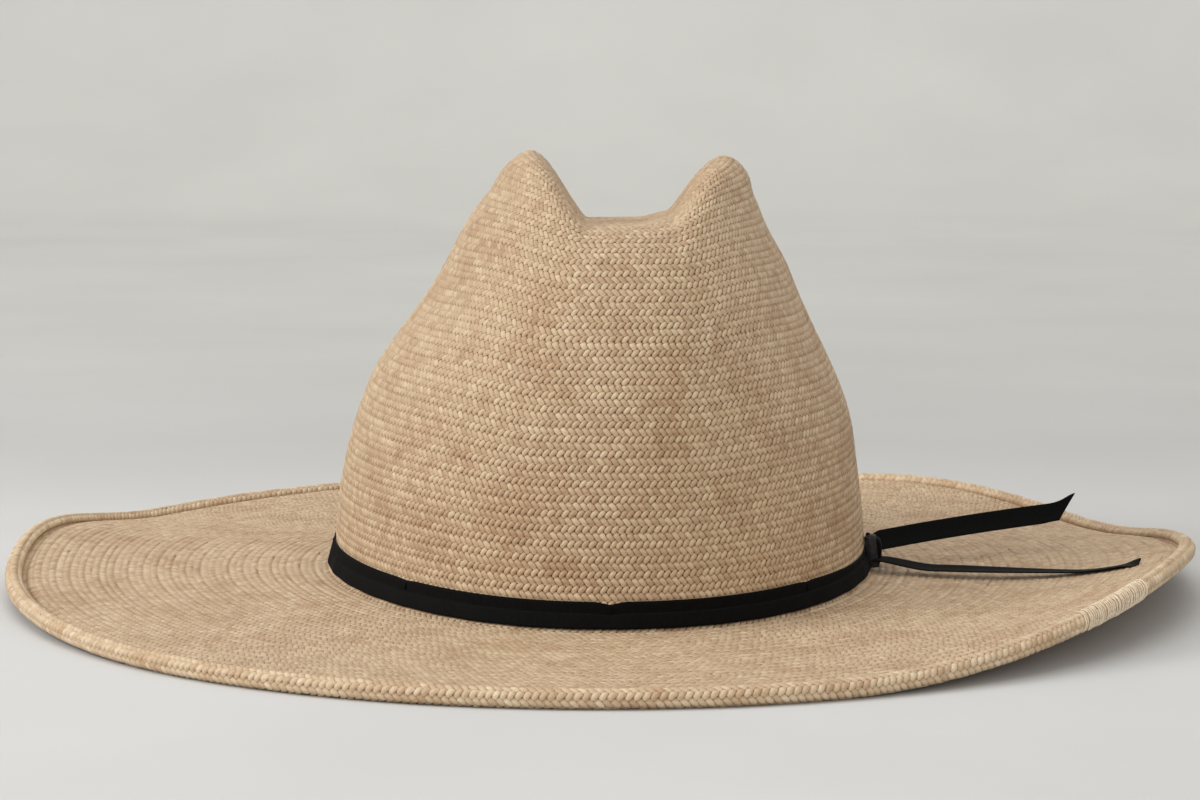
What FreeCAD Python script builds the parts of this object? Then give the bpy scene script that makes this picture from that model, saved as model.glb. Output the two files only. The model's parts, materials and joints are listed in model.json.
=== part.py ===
"""Woven straw cowboy hat with a rolled brim edge, a leather sweatband and a narrow ribbon band.

Millimetres. +Z is up, the wearer faces -Y and +X is the wearer's left, where the ribbon is tied. The origin
is the middle of the hat's plan, on the surface that the brim stands on. An angle round the hat is counted from
+X towards +Y, as an ellipse's own angle: 0 is the wearer's left, 90 the back, 180 the right and -90 the front.
"""

import FreeCAD, Part
import Sketcher
import math
import os

from FreeCAD import Placement, Rotation, Vector

SIZES = {
    # the straw
    "brim_length": 400.0,          # front to back, over the edge roll
    "brim_width": 370.0,           # side to side, over the edge roll
    "crown_length": 204.0,         # outside, where the crown meets the brim
    "crown_width": 164.0,
    "straw_thickness": 1.8,
    "side_break_height": 6.0,      # top of the brim where it meets the crown, at the hat's sides
    "break_dip": 3.7,              # how much lower that line runs at the front and back
    "brim_curl": 2.4,              # power of the brim's rise: more keeps it flat further out
    "dome_height": 139.4,          # the crown's full dome, before its crease is pressed in
    "crown_lean": 7.6,             # the crown's top stands this far to the wearer's left
    "lean_start_height": 30.0,
    "lean_end_height": 120.0,
    # the crease along the crown's top, and the dents at its sides
    "crease_floor_width": 20.0,
    "crease_top_width": 54.0,
    "crease_front_height": 113.8,
    "crease_back_height": 108.4,
    "crease_wall_height": 22.0,
    "dent_height": 92.0,
    "right_dent_depth": 4.8,
    "right_dent_reach": 30.0,
    "left_dent_depth": 8.1,
    "left_dent_reach": 46.0,
    # the brim's edge: a roll of straw round a wire, which lifts off the table in three places
    "roll_diameter": 5.5,
    "front_left_lift": 12.5,
    "back_left_lift": 4.5,
    "right_lift": 5.5,
    "wire_diameter": 1.6,
    "wire_gap": 0.6,
    "joiner_length": 22.0,
    "joiner_wall": 0.45,
    # the ribbon
    "ribbon_width": 6.4,
    "ribbon_thickness": 0.5,
    "band_height": 7.0,
    "band_step_height": 3.6,       # the crease along the band, above its lower edge
    "band_flare": 1.7,             # how far the band's lower edge stands off the crown
    "band_lift": 1.6,              # lower edge above the brim
    "band_ledge": 0.6,             # how far the lower half's upper edge stands out past the upper half
    "tack_margin": 0.6,            # from a tack's ends to the crease and to the band's upper edge
    "knot_width": 6.4,
    "knot_reach": 1.2,             # how far the knot's turn passes the band, above and below
    "knot_depth": 5.4,
    "knot_rounding": 0.9,
    "knot_tie_length": 1.5,
    "knot_tie_spacing": 2.4,
    "knot_tie_setback": 1.1,
    "standing_tail_length": 65.0,
    "standing_tail_bow": 4.0,      # sideways curve of the standing tail
    "standing_tail_slant": 4.5,    # how far its upper corner reaches past its lower one
    "lying_tail_length": 80.0,
    "lying_tail_sag": 2.3,
    # inside the crown
    "sweatband_height": 33.0,
    "leather_thickness": 1.0,
    "sweatband_base_height": 4.6,
    "reed_height": 3.2,
    "reed_diameter": 1.6,
    "tape_thickness": 0.35,
    "bow_width": 16.0,
    "bow_height": 7.0,
    "bow_thickness": 1.2,
    "tab_width": 14.0,
    "tab_height": 9.0,
    "tab_thickness": 0.4,
    "joint_slot": 0.4,
    "seam_margin": 1.2,            # from the leather's lower edge up to its row of stitches
    "stitch_length": 3.2,
    # thread and clearances
    "thread_diameter": 0.4,
    "splice_thread_diameter": 0.6,
    "soft_gap": 0.3,               # between soft pieces that lie against each other
    "fit_gap": 0.05,               # between pieces that are woven or sewn together
    "rod_gap": 0.15,               # round the wire and the reed, in the sleeves that hold them
}

# Angles round the hat: the middle of each hump and how far it reaches to both sides.
FRONT_LEFT_LIFT_AT = (-19.0, 52.0)
BACK_LEFT_LIFT_AT = (50.0, 28.0)
RIGHT_LIFT_AT = (-174.0, 46.0)
LEFT_DENT_AT = (-10.0, 70.0)
RIGHT_DENT_AT = (190.0, 70.0)
SPLICE_ANGLES = (-46.5, -35.0)     # where the pale thread is whipped over the edge roll
SPLICE_STITCHES = 15
SPLICE_ARC = 230.0
TACK_COUNT = 8
FIRST_TACK_ANGLE = -88.0
KNOT_ANGLE = -8.5
KNOT_CLEAR_ANGLE = 15.0            # no tack this near to the knot
STITCH_COUNT = 96
JOINT_STITCHES = 6
TAB_ANGLE = 62.0
BOW_LEVEL = 0.55                   # heights on the sweatband, as shares of its own
TAB_LEVEL = 0.45
STANDING_TAIL_YAW = 21.0
STANDING_TAIL_RISE = 5.5
STANDING_TAIL_LEAN = 30.0
STANDING_TAIL_ROOT = (0.35, 0.45)  # on the knot's face: share of its width from the middle, of its height
LYING_TAIL_YAW = -19.0
LYING_TAIL_RISE = 5.0
LYING_TAIL_ROOT = (-0.45, 0.065)

RING_POLES = 96
CREASE_RUN = 0.6                   # share of the crown's length that the crease's floor runs over
DOME_LEVELS = (0.07, 0.2, 0.32, 0.42, 0.5, 0.59, 0.67, 0.76, 0.84, 0.9, 0.95)    # shares of its height
BRIM_LEVELS = (0, 0.2, 0.4, 0.6, 0.75, 0.88, 1)    # shares of the way from the crown to the edge roll

doc = FreeCAD.newDocument("cowboy_hat")
sheet = doc.addObject("Spreadsheet::Sheet", "sizes")
for line, (alias, value) in enumerate(SIZES.items(), start=1):
    sheet.set("A%d" % line, alias)
    sheet.set("B%d" % line, str(value))
    sheet.setAlias("B%d" % line, alias)
doc.recompute()

parts = []


def size(alias):
    """The value of one driving dimension, read from the sheet."""
    return float(getattr(sheet, alias))


def keep(piece, name):
    """Name a finished piece and put it on the list of those that are written."""
    piece.Label = name
    parts.append(piece)
    return piece


def solid_feature(name, shape):
    """A document object whose shape was made by this script."""
    feature = doc.addObject("Part::Feature", name)
    feature.Shape = shape
    feature.Placement = Placement()
    return feature


# ---------------------------------------------------------------- the hat's form


def lobe(value, middle, reach):
    """A smooth hump: 1 at the middle, 0 from the reach outwards."""
    across = abs(value - middle) / reach
    return math.cos(across * math.pi / 2) ** 2 if across < 1 else 0.0


def around(angle, middle, reach):
    """A lobe round the hat, where angles repeat after a full turn."""
    return lobe((angle - middle + 180) % 360 - 180, 0, reach)


def smooth(value, start, end):
    share = min(max((value - start) / (end - start), 0), 1)
    return share * share * (3 - 2 * share)


def edge_lift(angle):
    """Height of the edge roll's underside above the table."""
    return (size("front_left_lift") * around(angle, *FRONT_LEFT_LIFT_AT)
            + size("back_left_lift") * around(angle, *BACK_LEFT_LIFT_AT)
            + size("right_lift") * around(angle, *RIGHT_LIFT_AT))


def break_height(angle):
    """Top of the brim where it meets the crown."""
    return size("side_break_height") - size("break_dip") * math.sin(math.radians(angle)) ** 2


def on_ellipse(angle, half_width, half_length, height):
    turn = math.radians(angle)
    return Vector(half_width * math.cos(turn), half_length * math.sin(turn), height)


def dome_share(height, inset):
    """Width of the dome at a height, as a share of its width at the table."""
    return math.sqrt(1 - (height / (size("dome_height") - inset)) ** 2)


def dome_point(angle, height, inset):
    """A point of the crown's wall before the crease, or of a surface that far inside it."""
    share = dome_share(max(height, 0), inset)
    point = on_ellipse(angle, (size("crown_width") / 2 - inset) * share,
                       (size("crown_length") / 2 - inset) * share, height)
    lean = size("crown_lean") * smooth(height, size("lean_start_height"), size("lean_end_height"))
    dent_at = size("dent_height")
    left = lobe(height, dent_at, size("left_dent_reach")) * around(angle, *LEFT_DENT_AT)
    right = lobe(height, dent_at, size("right_dent_reach")) * around(angle, *RIGHT_DENT_AT)
    inward = size("right_dent_depth") * right - size("left_dent_depth") * left
    return point + Vector(lean + inward, 0, 0)


# ---------------------------------------------------------------- free-form solids


def ring_poles(row):
    """Control points round the hat whose smooth closed curve passes through the row's own points."""
    step = 360.0 / RING_POLES
    outward = 3 / (2 + math.cos(math.radians(step)))
    points = [row(index * step) for index in range(RING_POLES)]
    return [Vector(point.x * outward, point.y * outward, point.z) for point in points]


def ring_face(first, second):
    """The face between two closed rows of control points."""
    count = len(first)
    surface = Part.BSplineSurface()
    surface.buildFromPolesMultsKnots([[a, b] for a, b in zip(first, second)],
                                     [1] * (count + 1), [2, 2],
                                     list(range(count + 1)), [0, 1], True, False, 3, 1)
    return surface.toShape()


def closed_solid(faces):
    """A solid from faces that share their borders."""
    shell = Part.makeShell(faces)
    if len(faces) > 1:
        shell.sewShape()
        shell = shell.Shells[0]
    solid = Part.makeSolid(shell)
    if solid.Volume < 0:
        solid.reverse()
    return solid


def ring_solid(rows):
    """A ring round the hat; the rows are the corners of its section, in order."""
    poles = [ring_poles(row) for row in rows]
    return closed_solid([ring_face(a, b) for a, b in zip(poles, poles[1:] + poles[:1])])


def roll_centre(angle):
    """The middle of the edge roll, which the brim wire follows too."""
    radius = size("roll_diameter") / 2
    return on_ellipse(angle, size("brim_width") / 2 - radius, size("brim_length") / 2 - radius,
                      edge_lift(angle) + radius)


def section_frame(angle):
    """The roll's centre, and the outward and upward directions of its section, at an angle."""
    before = roll_centre(angle - 0.5)
    along = (roll_centre(angle + 0.5) - before).normalize()
    outward = along.cross(Vector(0, 0, 1)).normalize()
    return roll_centre(angle), outward, outward.cross(along).normalize()


def quarter_poles(angle, radius, quarter):
    """Three control points of a quarter circle round the roll's section."""
    centre, outward, upward = section_frame(angle)
    turn = math.pi / 2 * quarter
    first = outward * math.cos(turn) + upward * math.sin(turn)
    last = upward * math.cos(turn) - outward * math.sin(turn)
    return [centre + first * radius, centre + (first + last) * radius, centre + last * radius]


def tube_faces(angles, radius, closed):
    """The four quarter faces of a round tube along the edge roll."""
    count = len(angles)
    mults = [1] * (count + 1) if closed else [4] + [1] * (count - 4) + [4]
    weights = [[1, math.sqrt(0.5), 1]] * count
    faces = []
    for quarter in range(4):
        poles = [quarter_poles(angle, radius, quarter) for angle in angles]
        surface = Part.BSplineSurface()
        surface.buildFromPolesMultsKnots(poles, mults, [3, 3], list(range(len(mults))), [0, 1],
                                         closed, False, 3, 2, weights)
        faces.append(surface.toShape())
    return faces


def closed_tube(radius):
    """A tube along the whole edge roll."""
    return closed_solid(tube_faces([index * 360.0 / RING_POLES for index in range(RING_POLES)], radius, True))


def open_tube(start, end, radius):
    """A tube along a stretch of the edge roll, with flat ends."""
    count = max(5, int(abs(end - start) * RING_POLES / 360.0) + 1)
    angles = [start + (end - start) * index / (count - 1) for index in range(count)]
    faces = tube_faces(angles, radius, False)
    for angle in (start, end):
        centre, outward, upward = section_frame(angle)
        disc = Part.makeCircle(radius, centre, outward.cross(upward))
        faces.append(Part.Face(Part.Wire(disc)))
    return closed_solid(faces)


# ---------------------------------------------------------------- sketches and bodies


def new_body(name):
    return doc.addObject("PartDesign::Body", name)


def new_sketch(body, role, name):
    """A sketch on one of the body's own origin planes."""
    sketch = body.newObject("Sketcher::SketchObject", name)
    plane = [feature for feature in body.Origin.OriginFeatures if feature.Role == role][0]
    sketch.AttachmentSupport = [(plane, "")]
    sketch.MapMode = "FlatFace"
    return sketch


def bind(sketch, kind, places, expression):
    """Add a sketch dimension whose value is an expression over the sheet."""
    value = float(sketch.evalExpression(expression))
    index = sketch.addConstraint(Sketcher.Constraint(kind, *places, value))
    sketch.setExpression("Constraints[%d]" % index, expression)


def bound_polygon(sketch, corners):
    """A closed polygon whose corners are pairs of expressions over the sheet."""
    points = [Vector(*[float(sketch.evalExpression(text)) for text in corner], 0) for corner in corners]
    count = len(points)
    first = sketch.GeometryCount
    for here, there in zip(points, points[1:] + points[:1]):
        sketch.addGeometry(Part.LineSegment(here, there), False)
    for index, corner in enumerate(corners):
        after = first + (index - 1) % count
        sketch.addConstraint(Sketcher.Constraint("Coincident", after, 2, first + index, 1))
        bind(sketch, "DistanceX", (-1, 1, first + index, 1), corner[0])
        bind(sketch, "DistanceY", (-1, 1, first + index, 1), corner[1])


def bound_strip(sketch, length, thickness, bow):
    """The edge-on outline of a ribbon end: two equal arcs, a thickness apart, from the origin along +X."""
    reach, thick, rise = [float(sketch.evalExpression(text)) for text in (length, thickness, bow)]
    low, high = [
        sketch.addGeometry(Part.Arc(Vector(0, y, 0), Vector(reach / 2, y + rise, 0), Vector(reach, y, 0)),
                           False)
        for y in (-thick / 2, thick / 2)]
    root, tip = [
        sketch.addGeometry(Part.LineSegment(Vector(x, -thick / 2, 0), Vector(x, thick / 2, 0)), False)
        for x in (0, reach)]
    root_end, tip_end = (2, 1) if rise > 0 else (1, 2)
    for arc, corner in ((low, 1), (high, 2)):
        sketch.addConstraint(Sketcher.Constraint("Coincident", arc, root_end, root, corner))
        sketch.addConstraint(Sketcher.Constraint("Coincident", arc, tip_end, tip, corner))
    for line in (root, tip):
        sketch.addConstraint(Sketcher.Constraint("Vertical", line))
        bind(sketch, "DistanceY", (line, 1, line, 2), thickness)
    bind(sketch, "DistanceX", (-1, 1, tip, 1), length)
    bind(sketch, "DistanceY", (-1, 1, tip, 1), "-(%s)/2" % thickness)
    bind(sketch, "DistanceX", (-1, 1, root, 1), "0 * (%s)" % thickness)
    bind(sketch, "DistanceY", (-1, 1, root, 1), "-(%s)/2" % thickness)
    for arc in (low, high):
        bind(sketch, "Radius", (arc,), "((%s)^2/4 + (%s)^2)/(2*abs(%s))" % (length, bow, bow))


def bound_oval(sketch, half_width, half_length):
    """An ellipse about the origin, longer along the sketch's Y, with both half sizes as expressions."""
    wide, deep = [float(sketch.evalExpression(text)) for text in (half_width, half_length)]
    index = sketch.addGeometry(Part.Ellipse(Vector(0, deep, 0), Vector(-wide, 0, 0), Vector()), False)
    sketch.exposeInternalGeometry(index)
    sketch.addConstraint(Sketcher.Constraint("Coincident", index, 3, -1, 1))
    sketch.addConstraint(Sketcher.Constraint("Vertical", index + 1))
    bind(sketch, "Distance", (index + 1,), "2*(%s)" % half_length)
    bind(sketch, "Distance", (index + 2,), "2*(%s)" % half_width)


def bound_circle(sketch, centre, radius):
    """A circle on the sketch's X axis, its place and radius as expressions."""
    across, reach = [float(sketch.evalExpression(text)) for text in (centre, radius)]
    index = sketch.addGeometry(Part.Circle(Vector(across, 0, 0), Vector(0, 0, 1), reach), False)
    sketch.addConstraint(Sketcher.Constraint("PointOnObject", index, 3, -1))
    bind(sketch, "DistanceX", (-1, 1, index, 3), centre)
    bind(sketch, "Radius", (index,), radius)


def pad(body, sketch, length, name, both_ways=False):
    feature = body.newObject("PartDesign::Pad", name)
    feature.Profile = sketch
    feature.setExpression("Length", length)
    feature.Midplane = both_ways
    return feature


def cut(name, base, tool):
    feature = doc.addObject("Part::Cut", name)
    feature.Base = base
    feature.Tool = tool
    return feature


def group(name, pieces):
    """Equal small pieces that share one node as separate solids."""
    compound = doc.addObject("Part::Compound", name)
    compound.Links = pieces
    return compound


def thread_bar(name, middle, direction, length, thickness):
    """A short straight length of thread; length and thickness are expressions."""
    bar = doc.addObject("Part::Cylinder", name)
    bar.setExpression("Radius", "(%s)/2" % thickness)
    bar.setExpression("Height", length)
    doc.recompute([bar])
    turn = Rotation(Vector(0, 0, 1), direction)
    bar.Placement = Placement(middle - turn.multVec(Vector(0, 0, bar.Height.Value / 2)), turn)
    return bar


# ---------------------------------------------------------------- crown


def dome_form(name, inset):
    """The dome of the crown as a solid, before its crease; it stops where the crease takes its top away."""
    top = size("dome_height") - inset
    heights = [-size("side_break_height"), 0] + [top * share for share in DOME_LEVELS]
    sections = []
    for height in heights:
        points = [dome_point(turn * 10, height, inset) for turn in range(36)]
        curve = Part.BSplineCurve()
        curve.interpolate(Points=points, PeriodicFlag=True)
        sections.append(Part.Wire(curve.toShape()))
    return solid_feature(name, Part.makeLoft(sections, True, False))


def crease_form(name, inset):
    """The trough that is pressed in along the crown's top; its floor falls towards the back."""
    body = new_body(name)
    sketch = new_sketch(body, "XZ_Plane", name + "_section")
    floor_half = "(sizes.crease_floor_width/2 + %s)" % inset
    top_half = "(sizes.crease_top_width/2 + %s)" % inset
    floor = "-(%s)" % inset
    rim = "sizes.crease_wall_height"
    roof = "sizes.crease_wall_height*2"
    bound_polygon(sketch, [("-" + floor_half, floor), (floor_half, floor), (top_half, rim),
                           (top_half, roof), ("-" + top_half, roof), ("-" + top_half, rim)])
    pad(body, sketch, "sizes.crown_length", name + "_pad", both_ways=True)
    run = size("crown_length") * CREASE_RUN
    fall = math.degrees(math.atan((size("crease_front_height") - size("crease_back_height")) / run))
    body.Placement = Placement(
        Vector(size("crown_lean"), 0, (size("crease_front_height") + size("crease_back_height")) / 2),
        Rotation(Vector(1, 0, 0), -fall))
    return body


def base_form():
    """A large drum along X whose top is the line that the crown's lower edge follows."""
    drum = doc.addObject("Part::Cylinder", "crown_base_form")
    drum.setExpression("Radius", "(sizes.crown_length/2)^2/(2*sizes.break_dip)")
    drum.setExpression("Height", "sizes.crown_width*2")
    doc.recompute([drum])
    top = size("side_break_height") - size("straw_thickness")
    drum.Placement = Placement(Vector(-drum.Height.Value / 2, 0, top - drum.Radius.Value),
                               Rotation(Vector(0, 1, 0), 90))
    return drum


def make_crown():
    outside = cut("crown_outside", dome_form("dome_outside", 0), crease_form("crease_outside", "0"))
    inside = cut("crown_inside", dome_form("dome_inside", size("straw_thickness")),
                 crease_form("crease_inside", "sizes.straw_thickness"))
    shell = cut("crown_shell", outside, inside)
    keep(cut("crown", shell, base_form()), "crown")


# ---------------------------------------------------------------- brim and its edge


def brim_row(share, above):
    """A line round the brim: share is 0 at the crown and 1 at the roll; above is from the straw's middle."""
    half = size("straw_thickness") / 2
    radius = size("roll_diameter") / 2

    def row(angle):
        inner = (size("crown_width") / 2 + size("fit_gap"), size("crown_length") / 2 + size("fit_gap"))
        inset = 2 * radius + size("soft_gap")
        outer = (size("brim_width") / 2 - inset, size("brim_length") / 2 - inset)
        inner_middle = break_height(angle) - half
        outer_middle = edge_lift(angle) + radius
        middle = inner_middle + (outer_middle - inner_middle) * share ** size("brim_curl")
        return on_ellipse(angle, inner[0] + (outer[0] - inner[0]) * share,
                          inner[1] + (outer[1] - inner[1]) * share, middle + above)

    return row


def make_brim():
    half = size("straw_thickness") / 2
    rows = [brim_row(share, half) for share in BRIM_LEVELS]
    rows += [brim_row(share, -half) for share in reversed(BRIM_LEVELS)]
    keep(solid_feature("brim", ring_solid(rows)), "brim")


def make_edge():
    """The edge roll, with a channel for the wire and a wider pocket for the joiner at the back."""
    wire_radius = size("wire_diameter") / 2
    bore_radius = wire_radius + size("rod_gap")
    joiner_radius = bore_radius + size("joiner_wall")
    joiner_half = math.degrees(size("joiner_length") / size("brim_width"))
    wire_end = math.degrees(size("wire_gap") / size("brim_width"))
    pocket_half = joiner_half + wire_end
    back = 90
    roll = closed_tube(size("roll_diameter") / 2).cut(closed_tube(bore_radius))
    pocket = open_tube(back - pocket_half, back + pocket_half, joiner_radius + size("rod_gap"))
    keep(solid_feature("brim_edge_roll", roll.cut(pocket)), "brim_edge_roll")
    wire = open_tube(back + wire_end, back + 360 - wire_end, wire_radius)
    keep(solid_feature("brim_wire", wire), "brim_wire")
    sleeve = open_tube(back - joiner_half, back + joiner_half, joiner_radius)
    bore = open_tube(back - pocket_half, back + pocket_half, bore_radius)
    keep(solid_feature("wire_joiner", sleeve.cut(bore)), "wire_joiner")


def make_splice_stitches():
    start, end = SPLICE_ANGLES
    stitches = []
    for index in range(SPLICE_STITCHES):
        angle = start + (end - start) * index / (SPLICE_STITCHES - 1)
        centre, outward, upward = section_frame(angle)
        along = outward.cross(upward)
        turn = doc.addObject("Part::Torus", "splice_turn_%02d" % index)
        turn.setExpression(
            "Radius1", "(sizes.roll_diameter + sizes.splice_thread_diameter)/2 + sizes.fit_gap")
        turn.setExpression("Radius2", "sizes.splice_thread_diameter/2")
        turn.Angle3 = SPLICE_ARC
        facing = Rotation(outward, upward, along, "ZXY")
        turn.Placement = Placement(centre, facing.multiply(Rotation(Vector(0, 0, 1), -SPLICE_ARC / 2)))
        stitches.append(turn)
    keep(group("edge_splice_stitches", stitches), "edge_splice_stitches")


# ---------------------------------------------------------------- ribbon


def band_row(out, up):
    """A line round the crown: out from its wall, up from the band's lower edge."""
    def row(angle):
        height = break_height(angle) + size("band_lift") + up
        wall = dome_point(angle, height, 0)
        turn = math.radians(angle)
        half_width, half_length = size("crown_width") / 2, size("crown_length") / 2
        outward = Vector(math.cos(turn) / half_width, math.sin(turn) / half_length, 0).normalize()
        return wall + outward * out
    return row


def make_band():
    """One ribbon, creased along its length: its lower half stands off the crown."""
    gap = size("fit_gap")
    outside = gap + size("ribbon_thickness")
    step = size("band_step_height")
    ledge = size("band_ledge")
    rows = [band_row(gap, size("band_height")), band_row(gap, step), band_row(size("band_flare"), 0),
            band_row(size("band_flare") + size("ribbon_thickness"), 0), band_row(outside + ledge, step),
            band_row(outside, step + ledge / 4), band_row(outside, size("band_height"))]
    keep(solid_feature("hat_band", ring_solid(rows)), "hat_band")
    tacks = []
    for index in range(TACK_COUNT):
        angle = FIRST_TACK_ANGLE + index * 360.0 / TACK_COUNT
        if abs((angle - KNOT_ANGLE + 180) % 360 - 180) < KNOT_CLEAR_ANGLE:
            continue
        out = outside + size("thread_diameter") / 2 + gap
        low = band_row(out, step + size("tack_margin"))(angle)
        high = band_row(out, size("band_height") - size("tack_margin"))(angle)
        tacks.append(thread_bar("band_tack_%d" % index, (low + high) / 2, high - low,
                                "sizes.band_height - sizes.band_step_height - 2*sizes.tack_margin",
                                "sizes.thread_diameter"))
    keep(group("hat_band_tacks", tacks), "hat_band_tacks")


def knot_frame():
    """Where the knot sits on the crown's wall, level with its lower edge, and which way it faces."""
    turn = math.radians(KNOT_ANGLE)
    facing = math.degrees(math.atan2(math.sin(turn) / size("crown_length"),
                                     math.cos(turn) / size("crown_width")))
    low = break_height(KNOT_ANGLE) + size("band_lift") - size("knot_reach")
    return dome_point(KNOT_ANGLE, low, 0), facing


def knot_height():
    return size("band_height") + 2 * size("knot_reach")


def make_knot():
    """A turn of ribbon, tied round the band: open towards the crown, where the band passes through it."""
    body = new_body("ribbon_knot")
    sketch = new_sketch(body, "XZ_Plane", "knot_section")
    tall = "(sizes.band_height + 2*sizes.knot_reach)"
    leg = "(sizes.knot_reach - sizes.soft_gap)"
    slot = "(sizes.band_flare + sizes.ribbon_thickness + sizes.soft_gap)"
    back = "sizes.soft_gap"
    foot = "0 * sizes.knot_reach"
    upper_leg = "(%s - %s)" % (tall, leg)
    bound_polygon(sketch, [(back, foot), ("sizes.knot_depth", foot), ("sizes.knot_depth", tall), (back, tall),
                           (back, upper_leg), (slot, upper_leg), (slot, leg), (back, leg)])
    block = pad(body, sketch, "sizes.knot_width", "knot_block", both_ways=True)
    doc.recompute()
    outer = [index for index, edge in enumerate(block.Shape.Edges, start=1)
             if all(abs(vertex.X - size("knot_depth")) < 0.01 for vertex in edge.Vertexes)]
    rounding = body.newObject("PartDesign::Fillet", "knot_rounding")
    rounding.Base = (block, ["Edge%d" % index for index in outer])
    rounding.setExpression("Radius", "sizes.knot_rounding")
    place, facing = knot_frame()
    body.Placement = Placement(place, Rotation(Vector(0, 0, 1), facing))
    keep(body, "ribbon_knot")
    above = place + Vector(0, 0, knot_height() + size("thread_diameter"))
    turn = Rotation(Vector(0, 0, 1), facing)
    ties = []
    for index, side in enumerate((-1, 1)):
        offset = Vector(size("knot_tie_setback"), side * size("knot_tie_spacing") / 2, 0)
        ties.append(thread_bar("knot_tie_%d" % index, above + turn.multVec(offset),
                               turn.multVec(Vector(1, 0, 0)), "sizes.knot_tie_length",
                               "sizes.thread_diameter"))
    keep(group("knot_tack", ties), "knot_tack")


def tail_root(share, overhang):
    """A point off the knot's face: clear of it by the tail's overhang and a gap, so that nothing rubs."""
    place, facing = knot_frame()
    turn = Rotation(Vector(0, 0, 1), facing)
    return place + turn.multVec(Vector(size("knot_depth") + size("soft_gap") + overhang,
                                       size("knot_width") * share[0], knot_height() * share[1]))


def tail_turn(yaw, rise, lean):
    """Turns a tail that was drawn along +X: to its heading, up from the brim, and over on its side."""
    return Rotation(yaw, -rise, 0).multiply(Rotation(Vector(1, 0, 0), -lean))


def print_hinge(body, corner, yaw):
    """The line that a tail lifts about, through one point of its root."""
    point = body.Placement.multVec(corner)
    axis = Rotation(Vector(0, 0, 1), yaw).multVec(Vector(0, -1, 0))
    print("%s lifts about (%.3f, %.3f, %.3f) along (%.5f, %.5f, 0)" % (
        body.Label, point.x, point.y, point.z, axis.x, axis.y))


def make_standing_tail():
    """The ribbon end that stands on its edge and rises off the brim."""
    body = new_body("standing_tail")
    sketch = new_sketch(body, "XY_Plane", "standing_tail_outline")
    bound_strip(sketch, "sizes.standing_tail_length", "sizes.ribbon_thickness", "sizes.standing_tail_bow")
    pad(body, sketch, "sizes.ribbon_width", "standing_tail_pad")
    corner = new_sketch(body, "XZ_Plane", "standing_tail_corner")
    end = "sizes.standing_tail_length"
    beyond = "(sizes.standing_tail_length + 1)"
    bound_polygon(corner, [("(%s - sizes.standing_tail_slant)" % end, "0 * sizes.ribbon_width"),
                           (beyond, "0 * sizes.ribbon_width"), (beyond, "sizes.ribbon_width"),
                           (end, "sizes.ribbon_width")])
    slant = body.newObject("PartDesign::Pocket", "standing_tail_slant")
    slant.Profile = corner
    slant.Type = "ThroughAll"
    slant.Midplane = True
    swing = size("ribbon_width") * math.sin(math.radians(STANDING_TAIL_RISE))
    overhang = swing + size("ribbon_thickness") / 2
    root = tail_root(STANDING_TAIL_ROOT, overhang)
    body.Placement = Placement(root, tail_turn(STANDING_TAIL_YAW, STANDING_TAIL_RISE, STANDING_TAIL_LEAN))
    keep(body, "standing_tail")
    print_hinge(body, Vector(0, 0, size("ribbon_width")), STANDING_TAIL_YAW)


def make_lying_tail():
    """The ribbon end that lies along the brim, on its back."""
    body = new_body("lying_tail")
    sketch = new_sketch(body, "XZ_Plane", "lying_tail_outline")
    bound_strip(sketch, "sizes.lying_tail_length", "sizes.ribbon_thickness", "-sizes.lying_tail_sag")
    pad(body, sketch, "sizes.ribbon_width", "lying_tail_pad", both_ways=True)
    skew = math.radians(LYING_TAIL_YAW - knot_frame()[1])
    overhang = size("ribbon_width") / 2 * abs(math.sin(skew))
    root = tail_root(LYING_TAIL_ROOT, overhang)
    body.Placement = Placement(root, tail_turn(LYING_TAIL_YAW, LYING_TAIL_RISE, 0))
    keep(body, "lying_tail")
    print_hinge(body, Vector(0, 0, size("ribbon_thickness") / 2), LYING_TAIL_YAW)


# ---------------------------------------------------------------- inside the crown


def wall_share(height):
    """Expression for the width of the crown's inner wall at a height, as a share of that at the table."""
    return "sqrt(1 - ((%s)/(sizes.dome_height - sizes.straw_thickness))^2)" % height


def leather_half(axis, height, inset):
    """Expression for half the sweatband's size at a height; inset is 0 outside, 1 at its inner face."""
    return "((sizes.%s/2 - sizes.straw_thickness)*%s - sizes.soft_gap - %s*sizes.leather_thickness)" % (
        axis, wall_share(height), inset)


def oval_at(body, name, height, inset):
    sketch = new_sketch(body, "XY_Plane", name)
    sketch.setExpression("AttachmentOffset.Base.z", height)
    halves = [leather_half(axis, height, inset) for axis in ("crown_width", "crown_length")]
    bound_oval(sketch, *halves)
    return sketch


def make_sweatband():
    """A leather strip round the inside, closed at the back by a butt joint."""
    low = "sizes.sweatband_base_height"
    high = "(sizes.sweatband_base_height + sizes.sweatband_height)"
    body = new_body("sweatband")
    for kind, label, inset in (("Additive", "outside", 0), ("Subtractive", "inside", 1)):
        bottom = oval_at(body, "sweatband_bottom_" + label, low, inset)
        top = oval_at(body, "sweatband_top_" + label, high, inset)
        loft = body.newObject("PartDesign::%sLoft" % kind, "sweatband_" + label)
        loft.Profile = bottom
        loft.Sections = [top]
        loft.Ruled = True
        doc.recompute()
    slot_sketch = new_sketch(body, "XY_Plane", "sweatband_joint_outline")
    near, far = "sizes.crown_length/4", "sizes.crown_length"
    bound_polygon(slot_sketch, [("-sizes.joint_slot/2", near), ("sizes.joint_slot/2", near),
                                ("sizes.joint_slot/2", far), ("-sizes.joint_slot/2", far)])
    slot = body.newObject("PartDesign::Pocket", "sweatband_joint")
    slot.Profile = slot_sketch
    slot.Type = "ThroughAll"
    slot.Midplane = True
    keep(body, "sweatband")


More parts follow.
